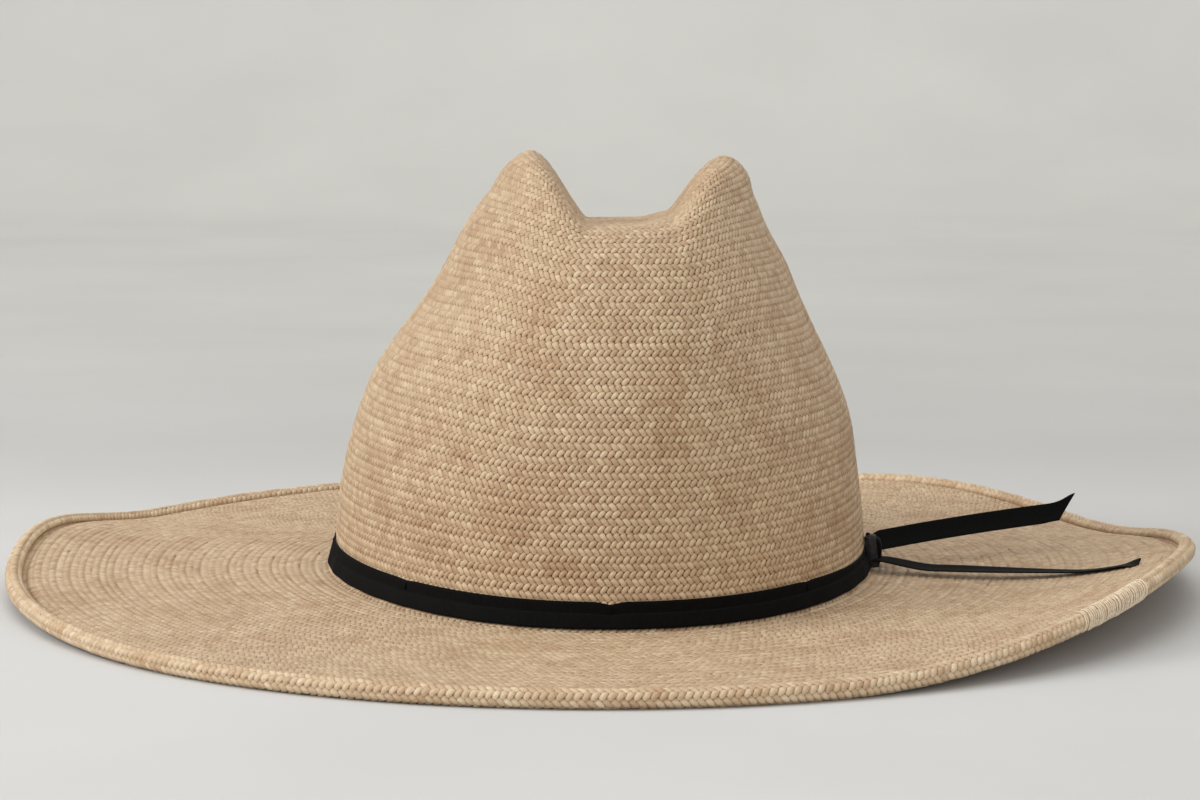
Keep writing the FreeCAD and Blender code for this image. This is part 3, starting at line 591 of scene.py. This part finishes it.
aluminium = cloth_material("aluminium", (186, 187, 190), (204, 205, 208), 0.38, 500, Metallic=1.0)


# ---- straw pieces


def close_top(sheet, places, ring, flat):
    """Closes the small hole in the middle of the crown's top."""
    middle = sheet.add(places[:, :1].mean(0), 0.6, 0.5, np.array([flat]))
    sheet.fan(middle[0], ring[::-1])


def make_crown():
    """The crown, woven from the middle of its top down, outside and inside."""
    sheet = Sheet()
    places = crown_sheet(4)
    normals = normals_of(places)
    outer_first, outer_last = weave(sheet, places, normals, 4, (0.5, 0.5, 0, 0.49))
    close_top(sheet, places, outer_first, (0.5, 0.5))
    inside = crown_sheet(2)
    inner = Sheet()
    back = inside - normals_of(inside) * STRAW
    first, last = weave(inner, back, -normals_of(inside), 2, (0.07, 0.07, 0, 0.065))
    close_top(inner, back, first, (0.07, 0.07))
    join(sheet, inner, outer_last, last)
    on_hat(sheet.piece("crown_straw", straw), "straw", "crown")


def join(sheet, other, ring, other_ring, second=None):
    """Adds another sheet, turned inside out, and closes the border between a ring of each."""
    shift = sheet.count
    for part in zip(other.places, other.values["relief"], other.values["tint"], other.bake):
        sheet.add(*part)
    sheet.faces += [block[:, ::-1] + shift for block in other.faces]
    sheet.zip(ring, other_ring + shift)
    if second:
        sheet.zip(second[1] + shift, second[0])


def make_brim():
    """The brim, woven from the crown outwards, above and below."""
    sheet = Sheet()
    places = brim_sheet(4)
    normals = normals_of(places)
    # The brim's painted shade in the gaps is lightened a little.
    first, last = weave(sheet, places + normals * STRAW / 2, normals, 4, (0.5, 0.5, 0.2, 0.49),
                        depth=0.48 * MM, lighter_gap_shade=0.04)
    under = Sheet()
    places = brim_sheet(2)
    normals = normals_of(places)
    under_first, under_last = weave(under, places - normals * STRAW / 2, -normals, 2,
                                    (0.5, 0.5, 0.03, 0.19), depth=0.45 * MM)
    join(sheet, under, last, under_last, (first, under_first))
    on_hat(sheet.piece("brim_straw", straw), "straw", "brim")


def make_roll():
    """The brim's edge: a braid of larger knobs that wraps the wire."""
    sheet = Sheet()
    rows = 6
    places, normals = roll_sheet(rows, 4)
    # The roll takes the paler straw, painted light, and its painted shade in the gaps is lightened more.
    first, last = weave(sheet, places, normals, 4, (0.5, 0.5, 0.42, 0.49), depth=0.75 * MM, lighter_gap_shade=0.15)
    sheet.bridge(last, first)
    on_hat(sheet.piece("brim_edge_braid", painted_lit_edge_straw), "straw", "brim_edge_roll")


make_crown()
make_brim()
make_roll()


# ---- ribbon and cloth


def strip(name, middle, thickness, material, closed=False, rib=0.0, pitch=RIB, edge=0.12):
    """A thin sheet of cloth or leather as a closed form; middle is its grid of places, along and across.

    rib is the height of the cross ribs and edge the extra thickness of its selvedges, as a share.
    """
    along = np.gradient(middle, axis=0)
    if closed:
        along = np.roll(middle, -1, 0) - np.roll(middle, 1, 0)
    normal = unit(np.cross(along, np.gradient(middle, axis=1)))
    length = length_along(middle[:, middle.shape[1] // 2])
    whole = length[-1] + (length[1] if closed else 0)
    phase = 2 * np.pi * max(1, round(whole / pitch)) * length / whole
    across = np.linspace(-1, 1, middle.shape[1])
    half = thickness / 2 * (1 + edge * (np.abs(across) > 0.9))[None, :] + rib * np.cos(phase)[:, None]
    half = half * np.sqrt(np.clip(1.06 - np.abs(across) ** 12, 0.06, 1))[None, :]
    top = middle + normal * half[..., None]
    bottom = (middle - normal * half[..., None])[:, ::-1]
    loops = np.concatenate([top, bottom], 1)
    count, size = loops.shape[:2]
    numbers = np.arange(count * size).reshape(count, size)
    ends = numbers if closed else numbers[:-1]
    following = np.roll(numbers, -1, 0) if closed else numbers[1:]
    side = np.roll(ends, -1, 1), np.roll(following, -1, 1)
    faces = np.stack([ends, following, side[1], side[0]], -1).reshape(-1, 4).tolist()
    if not closed:
        half_size = size // 2
        for row, flip in ((numbers[0], 1), (numbers[-1], -1)):
            back = row[::-1]
            pairs = zip(row[:half_size - 1], row[1:half_size], back[1:half_size], back[:half_size - 1])
            faces += [pair[::flip] for pair in pairs]
    return new_piece(name, loops, faces, material)


def tubes(name, lines, radius, material, sides=8, ply=0.14, twist=1.6 * MM):
    """Threads along lines of points, each a two-ply twisted tube with rounded ends."""
    places, faces = [], []
    angle = even_turns(sides)[None, :]
    for line in lines:
        along = unit(np.gradient(line, axis=0))
        other = unit(np.cross(along, [0.13, 0.31, 0.94]))
        third = np.cross(along, other)
        length = length_along(line)
        share = length / length[-1]
        end = np.sqrt(np.clip(1 - np.abs(2 * share - 1) ** 10, 0.02, 1))[:, None]
        size = radius * end * (1 + ply * np.cos(2 * (angle - np.pi * length[:, None] / twist)))
        ring = line[:, None] + size[..., None] * section_places(angle, other[:, None], third[:, None])
        faces += skin(ring, first=sides * sum(map(len, places)))
        places.append(ring)
    return new_piece(name, np.concatenate(places), faces, material)


def outward_of(turn):
    """The level direction straight out of the crown's wall."""
    return unit(np.stack([np.cos(turn) / CROWN_HALF[0], np.sin(turn) / CROWN_HALF[1], 0 * turn], -1))


def band_place(turn, out, up):
    """A place on the hat band: out from the crown's wall, up from the band's lower edge."""
    return dome_places(turn, break_height(turn) + BAND_LIFT + up) + outward_of(turn) * out[..., None]


def turn_between(turn, other):
    """The turn from one angle to another the short way, without its sign."""
    return np.abs((turn - other + np.pi) % (2 * np.pi) - np.pi)


def tucked(turn):
    """How far the tacks pull the band in, from 0 to 1; the front one pulls hardest."""
    per_turn = np.hypot(CROWN_HALF[0] * np.sin(turn), CROWN_HALF[1] * np.cos(turn))
    pulls = []
    for tack in TACK_TURNS:
        away = np.hypot(turn_between(turn, tack) * per_turn, 0.4 * MM)
        drawn = 0.4 + 0.6 * around(tack, -88, 30)
        pulls.append(drawn * np.clip(1 - away / (5 * MM), 0, 1) ** 1.5)
    return np.max(pulls, 0)


# The band's section in mm, from its upper edge down: height above its lower edge, and how far it stands out.
# Its upper half lies on the crown, and its lower half stands out from a crease at 3.3 mm.
BAND_SECTION = np.array([
    (6.9, 0.3), (6.6, 0.3), (6.0, 0.3), (5.2, 0.3), (4.4, 0.3), (3.7, 0.3), (3.34, 0.42), (3.28, 0.85),
    (3.22, 1.02), (3.1, 1.1), (2.8, 1.17), (2.2, 1.32), (1.5, 1.5), (0.8, 1.66), (0.0, 1.83), (-0.4, 1.9),
    (-0.7, 1.93)])


def make_band():
    """The ribbon, creased along its length, and drawn down by its tacks."""
    turn = even_turns(5160)[:, None]
    tuck = tucked(turn)
    heights, outs = BAND_SECTION.T * MM
    share = smooth(heights, 0, 3.2 * MM) * 0.6 + smooth(heights, 3.6 * MM, 6.8 * MM) * 0.35
    narrow = 1.5 * MM * around(turn, -14, 34) * smooth(heights, 3.2 * MM, 6.8 * MM)
    up = heights - tuck * share * MM - narrow
    out = outs + 0.12 * MM * np.sin(turn * 37) * (heights < 3.3 * MM) - 0.1 * MM * tuck
    middle = band_place(turn + 0 * up, out, up)
    piece = strip("ribbon_band", middle, RIBBON_THICKNESS, ribbon, closed=True, rib=0.045 * MM)
    on_hat(piece, "ribbon", "hat_band")


def make_tacks():
    """A short upright stitch over the band at each tuck, but none under the knot."""
    share = np.linspace(0, 1, 14)
    up = (3.7 + 2.2 * share) * MM
    out = (0.78 - 0.4 * np.abs(2 * share - 1) ** 4) * MM
    lean = 0.002 * (share - 0.5)
    clear = math.radians(15)
    lines = [band_place(tack + lean, out, up)
             for tack in TACK_TURNS if turn_between(tack, KNOT_TURN) >= clear]
    on_hat(tubes("band_tack_stitches", lines, THREAD, thread_dark), "dark_thread", "hat_band_tacks")


def knot_frame():
    """The place of the ribbon knot, its outward direction and the direction along the crown."""
    place = dome_places(KNOT_TURN, break_height(KNOT_TURN) + BAND_LIFT - 0.2 * MM)
    outward = outward_of(KNOT_TURN)
    return place, outward, np.cross(UP, outward)


KNOT_HEIGHT = 9.2 * MM
KNOT_DEPTH = 5.2 * MM
KNOT_WIDTH = 4.8 * MM


def swung(angle, squareness, wave):
    """A sine or cosine, made squarer: the power is 1 for a circle and nears 0 for a square."""
    return np.sign(wave(angle)) * np.abs(wave(angle)) ** squareness


def make_knot_core():
    """A tight bundle of ribbon, slotted at its back for the band and with a rounded face."""
    place, outward, along = knot_frame()
    wall, low, high, deep = 0.05, 0.6, 8.3, 2.45
    slot = np.array([(wall, 9.0), (wall, high + 0.05), (1.4, high), (deep, high), (deep, 6.0), (deep, 3.4),
                     (deep, low), (1.4, low), (wall, low - 0.05), (wall, 0.3)]) * MM
    angle = np.linspace(-np.pi / 2, np.pi / 2, 90)
    face = np.stack([0.1 * MM + (KNOT_DEPTH - 0.1 * MM) * swung(angle, 0.4, np.cos),
                     KNOT_HEIGHT / 2 * (1 + swung(angle, 0.6, np.sin))], 1)
    centre = np.array([3.4 * MM, KNOT_HEIGHT / 2])
    rings = []
    for share in np.concatenate([[-1, -0.97, -0.9], np.linspace(-0.8, 0.8, 17), [0.9, 0.97, 1]]):
        puff = 1 - 0.12 * np.abs(share) ** 3 - 0.05 * (np.abs(share) > 0.93)
        puffed = centre + (face - centre) * puff
        puffed[:, 0] = np.maximum(puffed[:, 0], wall * MM)
        section = np.concatenate([puffed, slot])
        middle = place + share * KNOT_WIDTH / 2 * along
        rings.append(middle + section[:, :1] * outward + section[:, 1:] * UP)
    rings = np.array(rings)
    on_hat(new_piece("knot_core", rings, skin(rings), ribbon), "ribbon", "ribbon_knot")


def make_knot_turn():
    """The slanting turn of ribbon round the core and the tails' roots, which shows its face, made paler as a
    painted sheen.
    """
    place, outward, along = knot_frame()
    turn = even_turns(240)[:, None]
    across = np.linspace(-1, 1, 15)[None, :]
    round_up = swung(turn, 0.55, np.sin)
    round_along = swung(turn, 0.55, np.cos)
    out = 2.35 * MM + 1.6 * MM * across - 0.6 * MM * round_up + 0 * turn
    crease = 0.14 * MM * np.cos(across * 5 + 1) * (1 + 0.3 * np.sin(turn * 3))
    sides = (2.75 * MM + crease - 0.25 * MM * across ** 2) * round_along
    rise = 4.6 * MM + (4.85 * MM - 0.3 * MM * across ** 2) * round_up
    middle = place + out[..., None] * outward + sides[..., None] * along + rise[..., None] * UP
    on_hat(strip("knot_turn", middle, 0.45 * MM, knot_ribbon_painted_sheen, closed=True, rib=0.03 * MM), "ribbon")


def make_knot_ties():
    """Two stitches over the top of the knot, into the crown."""
    place, outward, along = knot_frame()
    share = np.linspace(0, 1, 12)[:, None]
    arch = 0.25 * MM * (1 - (2 * share - 1) ** 2)
    lines = []
    for side in (-1.2 * MM, 1.2 * MM):
        start = place + side * along + UP * (KNOT_HEIGHT + 0.35 * MM)
        lines.append(start + (0.2 + 1.3 * share) * MM * outward + arch * UP)
    on_hat(tubes("knot_tie_stitches", lines, THREAD, thread_dark), "dark_thread", "knot_tack")


def tail_middle(joint, back, yaw, rise, lean, drawn):
    """Turns a tail's grid, drawn from its root along +X, to its place; back is from root to hinge."""
    turn = Matrix.Rotation(math.radians(yaw), 3, "Z") @ Matrix.Rotation(math.radians(-rise), 3, "Y")
    turn = turn @ Matrix.Rotation(math.radians(-lean), 3, "X")
    return hinges[joint] + (drawn - back) @ np.array(turn).T


def blend_tail(piece, joint, body):
    """Hides the tail's CAD body and bakes the piece's place into its mesh."""
    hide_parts(body)
    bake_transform(piece)


def make_standing_tail():
    """The end that stands on its edge: bowed, and its slanted tip curls up."""
    long = 65 * MM
    root = 4.6 * MM
    x = np.linspace(-root, long, 600)[:, None] + 0 * np.ones(15)
    level = np.linspace(0, 1, 15)[None, :]
    tip = smooth(x, long - 9 * MM, long)
    x = x + (3.2 * level - 4.5 * (1 - level)) * MM * smooth(x, long - 16 * MM, long)
    bend = 4 * (x / long) * (1 - x / long) * (x > 0)
    curl = 2.0 * MM * tip ** 2 * level
    cup = 0.35 * MM * (1 - (2 * level - 1) ** 2)
    sink = smooth(x, 0, -root)
    up = RIBBON * (level * (1 - 0.25 * sink) + 0.05 * sink)
    out = 2.4 * MM * bend + cup * (1 - sink)
    drawn = np.stack([x, out, up + 1.3 * MM * bend + curl + 0.4 * MM * tip], -1)
    middle = tail_middle("standing_tail_lift", np.array([0, 0, RIBBON - 0.8 * MM]), 21, 4.8, 30, drawn)
    piece = strip("standing_ribbon_tail", middle, RIBBON_THICKNESS, ribbon, rib=0.03 * MM)
    blend_tail(piece, "standing_tail_lift", "standing_tail")


def lifted_clear(middle, clear):
    """How far each line across a ribbon must rise to lie clear of the brim's upper side."""
    front_left = np.linspace(-np.pi / 2, np.pi / 4, 500)[:, None]
    brim = brim_middle(front_left, np.linspace(0, 1, 60)[None, :]).reshape(-1, 3)
    stations = np.arange(0, len(middle), 20)
    needed = []
    for line in middle[stations]:
        missing = []
        for place in line[[0, -1]]:
            nearest = np.argmin(((brim[:, :2] - place[:2]) ** 2).sum(-1))
            missing.append(brim[nearest, 2] + STRAW / 2 + clear - place[2])
        needed.append(max(0, *missing))
    needed = np.interp(np.arange(len(middle)), stations, needed)
    kernel = np.hanning(121)
    return np.convolve(np.pad(needed, 60, "edge"), kernel / kernel.sum(), "valid")


def make_lying_tail():
    """The end that lies along the brim: slightly cupped, and twisted so that its far edge is higher."""
    long = 81 * MM
    root = 3.2 * MM
    x = np.linspace(-root, long, 700)[:, None] + 0 * np.ones(15)
    level = np.linspace(-1, 1, 15)[None, :]
    share = np.clip(x / long, 0, 1)
    sag = -0.8 * MM * 4 * share * (1 - share) + 2.2 * MM * (1 - smooth(x, -3 * MM, 16 * MM))
    twist = 0.06 + 0.1 * np.sin(share * 5.2 + 0.4) + 0.3 * smooth(share, 0.93, 1)
    half = RIBBON / 2 * (1 - 0.1 * smooth(x, 0, -root))
    cup = 0.3 * MM * level ** 2 * smooth(share, 0.02, 0.3)
    side = -5 * MM * share ** 3
    drawn = np.stack([x, side + half * level * np.cos(twist), sag + half * level * np.sin(twist) + cup], -1)
    middle = tail_middle("lying_tail_lift", np.array([0, 0, 0.25 * MM]), -25, 3.2, 0, drawn)
    middle[..., 2] += lifted_clear(middle, 0.4 * MM)[:, None]
    piece = strip("lying_ribbon_tail", middle, RIBBON_THICKNESS, ribbon, rib=0.03 * MM)
    blend_tail(piece, "lying_tail_lift", "lying_tail")


make_band()
make_tacks()
make_knot_core()
make_knot_turn()
make_knot_ties()
make_standing_tail()
make_lying_tail()


# ---- the brim's edge


def wire_line(start, end, count):
    """Places along the middle of the roll, between two angles in degrees."""
    return roll_centre(np.radians(np.linspace(start, end, count)))


def make_wire():
    """The steel wire in the roll, and the sleeve over its two ends at the back."""
    piece = tubes("edge_wire", [wire_line(90.2, 449.8, 720)], 0.8 * MM, steel, 12, 0)
    on_hat(piece, "steel_wire", "brim_wire")
    sleeve = tubes("edge_wire_sleeve", [wire_line(86.6, 93.4, 40)], 1.35 * MM, aluminium, 20, 0.02)
    on_hat(sleeve, "aluminium_sleeve", "wire_joiner")


def make_splice():
    """Pale thread whipped over the roll, close but uneven, slanted like the braid."""
    first, spread, strands = -44.6, 10.8, 36
    lines = []
    for index in range(strands):
        turn = math.radians(first + spread * (index + 0.6 * random.random()) / (strands - 1))
        section = np.radians(np.linspace(-70 + 30 * random.random(), 135, 30))
        lean = (section / math.pi) * (0.016 + 0.004 * random.random())
        centre, outward, upward = roll_frame(turn + lean)
        radius = ROLL_RADIUS + (0.02 + 0.16 * random.random()) * MM
        lines.append(centre + radius * section_places(section, outward, upward))
    piece = tubes("splice_whipping", lines, 0.15 * MM, thread_pale, twist=2.4 * MM)
    on_hat(piece, "pale_thread", "edge_splice_stitches")


# ---- inside the crown


LEATHER_LOW = 4.6 * MM  # the sweatband's lower edge
LEATHER_HEIGHT = 33 * MM
LEATHER = 1.0 * MM  # its thickness
LINING_GAP = 0.3 * MM  # from the straw to the leather
SEAM_HEIGHT = 5.8 * MM
SEAM_STITCHES = 96
CLOSING_STITCHES = 6


def leather_place(turn, height, inset):
    """A place on the sweatband: inset is 0 at its outer face and its thickness at its inner one."""
    turn, height, inset = np.broadcast_arrays(turn, height, inset)
    ends = [np.sqrt(1 - (end / (DOME - STRAW)) ** 2) for end in (LEATHER_LOW, LEATHER_LOW + LEATHER_HEIGHT)]
    share = ends[0] + (ends[1] - ends[0]) * (height - LEATHER_LOW) / LEATHER_HEIGHT
    half = [(side - STRAW) * share - LINING_GAP - inset for side in CROWN_HALF]
    return np.stack([half[0] * np.cos(turn), half[1] * np.sin(turn), height], -1)


def make_sweatband():
    """A soft leather strip with its two ends closed at the back, dimpled by its seam."""
    gap = 0.2 * MM / CROWN_HALF[0]
    turn = np.linspace(BACK + gap, BACK + 2 * np.pi - gap, 1440)[:, None]
    height = LEATHER_LOW + LEATHER_HEIGHT * np.linspace(0, 1, 34)[None, :]
    seam = 0.16 * MM * lobe(height, SEAM_HEIGHT, 1.2 * MM) * np.cos(turn * SEAM_STITCHES) ** 8
    ripple = 0.12 * MM * np.sin(turn * 23 + height * 300) * smooth(height, 10 * MM, 37 * MM)
    middle = leather_place(turn, height, LEATHER / 2 + seam + ripple)
    piece = strip("sweatband_leather", middle, 0.9 * MM, leather, edge=0)
    on_hat(piece, "leather", "sweatband")


def make_reed():
    """The rod under the leather's edge, and the cloth tape that wraps it."""
    wrapped, sides = 1.3 * MM, 16
    half = CROWN_HALF - STRAW - LINING_GAP - wrapped
    turn = even_turns(1500)[:, None]
    section = even_turns(sides)[None, :]
    weft = 0.05 * MM * np.cos(turn * 640 + section * 3)
    centre = np.stack([half[0] * np.cos(turn), half[1] * np.sin(turn), 3.2 * MM + 0 * turn], -1)
    radius = (wrapped - 0.02 * MM + weft)[..., None]
    places = centre + radius * section_places(section, outward_of(turn), UP)
    piece = new_piece("reed_tape_cloth", places, skin(places, closed=True), tape_cloth)
    on_hat(piece, "cloth_tape", "reed_tape")
    frame["nodes"]["sweatband_reed"].material_slots[0].material = reed_plastic


def make_seams():
    """The stitches along the sweatband's lower edge, and those that close its ends."""
    share = np.linspace(-1, 1, 14)
    inset = LEATHER + 0.25 * MM - 0.3 * MM * np.abs(share) ** 4
    lines = []
    for index in range(SEAM_STITCHES):
        turn = BACK + (index + 0.5) * 2 * math.pi / SEAM_STITCHES + share * 0.0175
        lines.append(leather_place(turn, SEAM_HEIGHT + 0.1 * MM * share, inset))
    on_hat(tubes("sweatband_seam", lines, THREAD, thread_pale), "pale_thread", "sweatband_stitches")
    lines = []
    for index in range(CLOSING_STITCHES):
        height = LEATHER_LOW + LEATHER_HEIGHT * (index + 1) / (CLOSING_STITCHES + 1)
        lines.append(leather_place(BACK + share * 0.0195, height + 0.35 * MM * share, inset))
    piece = tubes("sweatband_closing_seam", lines, THREAD, thread_pale)
    on_hat(piece, "pale_thread", "sweatband_joint_stitches")


def make_bow():
    """Two flat loops and a tight middle, against the leather over its joint."""
    level = LEATHER_LOW + LEATHER_HEIGHT * 0.55
    half_length = 8 * MM
    across = np.linspace(-1, 1, 121)[:, None]
    up = np.linspace(-1, 1, 17)[None, :]
    share = np.abs(across)
    wide = 1.4 * MM + 2.1 * MM * smooth(share, 0.1, 0.75) - 0.5 * MM * smooth(share, 0.8, 1)
    puff = 0.5 * MM * np.sin(np.pi * share) * (1 - up ** 2)
    fold = 0.1 * MM * np.sin(up * 9) * (1 - smooth(share, 0, 0.6))
    wall = leather_place(BACK - across * half_length / CROWN_HALF[0], level + wide * up, LEATHER)
    inward = np.array([0, -1.0, 0])
    middle = wall + inward * (0.95 * MM + puff + fold)[..., None]
    piece = strip("sweatband_bow_loops", middle, 0.55 * MM, bow_ribbon, rib=0.03 * MM, pitch=0.7 * MM)
    on_hat(piece, "bow_ribbon", "sweatband_bow")
    turn = even_turns(48)[:, None]
    side = np.linspace(-1, 1, 9)[None, :]
    middle = np.stack([side * 1.1 * MM + 0 * turn, 0.85 * MM * np.sin(turn) + 0 * side,
                       1.75 * MM * np.cos(turn) + 0 * side], -1)
    centre = leather_place(BACK, level, LEATHER) + inward * 1.05 * MM
    wrap = strip("sweatband_bow_middle", centre + middle, 0.35 * MM, bow_ribbon, closed=True, rib=0.03 * MM)
    on_hat(wrap, "bow_ribbon")


def make_tab():
    """A bare cloth tab, woven, a little curled at its free end."""
    level = LEATHER_LOW + LEATHER_HEIGHT * 0.45
    half_length, half_height, bend_radius = 7 * MM, 4.5 * MM, 94 * MM
    across = np.linspace(-1, 1, 140)[:, None]
    up = np.linspace(-1, 1, 15)[None, :]
    turn = math.radians(62) + across * half_length / bend_radius
    inset = LEATHER + 0.45 * MM + 0.6 * MM * smooth(-up, 0.4, 1)
    middle = leather_place(turn, level + half_height * up, inset)
    piece = strip("sweatband_tab", middle, 0.36 * MM, tab_cloth, rib=0.02 * MM, pitch=0.35 * MM)
    on_hat(piece, "cloth_tab", "size_tab")


make_wire()
make_splice()
make_sweatband()
make_reed()
make_seams()
make_bow()
make_tab()


# ---- stage, light and camera


DISTANCE_TONE = (0.58, 0.58, 0.565, 1)  # what the floor and the studio fade to, far from the hat


def maths(owner, operation, *values):
    """The output of a maths node."""
    return node(owner, "Math", dict(enumerate(values)), operation=operation).outputs[0]


def seen_rays(owner):
    """1 for rays from the eye, straight or through gloss and glass, and 0 for rays that carry light."""
    rays = node(owner, "LightPath").outputs
    bent = maths(owner, "MAXIMUM", rays["Is Glossy Ray"], rays["Is Transmission Ray"])
    return maths(owner, "MAXIMUM", rays["Is Camera Ray"], bent)


def floor_paper():
    """Pale paper, a little cloudy, with painted light that darkens it a little behind the hat, and which
    fades to one plain tone at the sides and in front.
    """
    material, shader = new_material("floor_paper", 0.9)
    links = material.node_tree.links
    clouds = ramp(material, noise(material, 6), [(0.3, (203, 203, 203)), (0.7, (209, 209, 209))])
    place = node(material, "SeparateXYZ", {0: node(material, "TexCoord").outputs["Object"]}).outputs
    depth = node(material, "MapRange", {"Value": place["Y"], "From Min": 0, "From Max": 2}).outputs[0]
    # Painted light: the paper is brightest in front and towards the wall, and darkest about 0.3 m behind the
    # hat.
    tones = ramp(material, depth, [
        (0.0, (255, 255, 254)), (0.16, (232, 232, 229)), (0.35, (238, 238, 234)), (0.8, (255, 255, 250))])
    links.new(mixed(material, "MULTIPLY", 1.0, clouds, tones), shader.inputs["Base Color"])
    away = maths(material, "MAXIMUM", maths(material, "ABSOLUTE", place["X"]),
                 maths(material, "MULTIPLY", place["Y"], -1.0))
    far = node(material, "MapRange", {"Value": away, "From Min": 0.6, "From Max": 1.2},
               interpolation_type="SMOOTHSTEP").outputs[0]
    plain = node(material, "Emission", {"Color": DISTANCE_TONE}).outputs[0]
    faded = node(material, "MixShader", {0: maths(material, "MULTIPLY", far, seen_rays(material)),
                                         1: shader.outputs[0], 2: plain}).outputs[0]
    links.new(faded, material.node_tree.nodes["Material Output"].inputs["Surface"])
    return material


def make_stage():
    """A sweep of paper: a floor that curves up into a wall behind the hat."""
    reach, front, wall, top, radius = 6.0, -6.0, 2.2, 2.6, 0.7
    centre = wall - radius
    profile = [(front, 0)]
    for angle in np.radians(np.arange(0, 91, 5)):
        profile.append((centre + radius * math.sin(angle), radius - radius * math.cos(angle)))
    profile.append((wall, top))
    places = [(side * reach, y, z) for y, z in profile for side in (-1, 1)]
    faces = [(2 * i, 2 * i + 1, 2 * i + 3, 2 * i + 2) for i in range(len(profile) - 1)]
    new_piece("sweep", places, faces, floor_paper())


def make_lamp(name, place, target, size, power):
    """A soft rectangular lamp that faces its target."""
    data = bpy.data.lights.new(name, "AREA")
    data.shape = "RECTANGLE"
    data.size, data.size_y = size
    data.energy = power
    lamp = bpy.data.objects.new(name, data)
    lamp.location = place
    lamp.rotation_euler = (Vector(target) - Vector(place)).to_track_quat("-Z", "Y").to_euler()
    bpy.context.scene.collection.objects.link(lamp)


def make_world():
    """Soft light from all round, seen as the tone that the floor fades to."""
    world = bpy.data.worlds.new("studio")
    world.use_nodes = True
    light = (0.5, 0.4875, 0.4675, 1)
    colour = mixed(world, "MIX", seen_rays(world), light, DISTANCE_TONE)
    world.node_tree.links.new(colour, world.node_tree.nodes["Background"].inputs["Color"])
    bpy.context.scene.world = world


def make_camera():
    """Stands low in front of the hat and looks slightly down at its crown."""
    distance, elevation, look_down = 1.1, math.radians(9.4), math.radians(6.91)
    data = bpy.data.cameras.new("camera")
    data.sensor_width = 36
    data.lens = 106.3
    camera = bpy.data.objects.new("camera", data)
    camera.location = (0, -distance * math.cos(elevation), 7.5 * MM + distance * math.sin(elevation))
    camera.rotation_euler = (math.pi / 2 - look_down, 0, 0)
    bpy.context.scene.collection.objects.link(camera)
    bpy.context.scene.camera = camera


make_stage()
make_lamp("key", (-1.75, -0.4, 1.0), (0, 0, 0.05), (1.0, 1.0), 22)
make_lamp("top", (-0.3, -0.2, 2.2), (0, 0, 0.05), (2.4, 2.0), 18)
make_lamp("front", (0.2, -2.7, 0.9), (0, 0, 0.05), (2.2, 1.2), 18)
make_lamp("backdrop", (0.4, 1.0, 1.6), (0.15, 2.2, 0.1), (1.2, 0.6), 5)
make_world()
bpy.context.scene.view_settings.view_transform = "Standard"
make_camera()
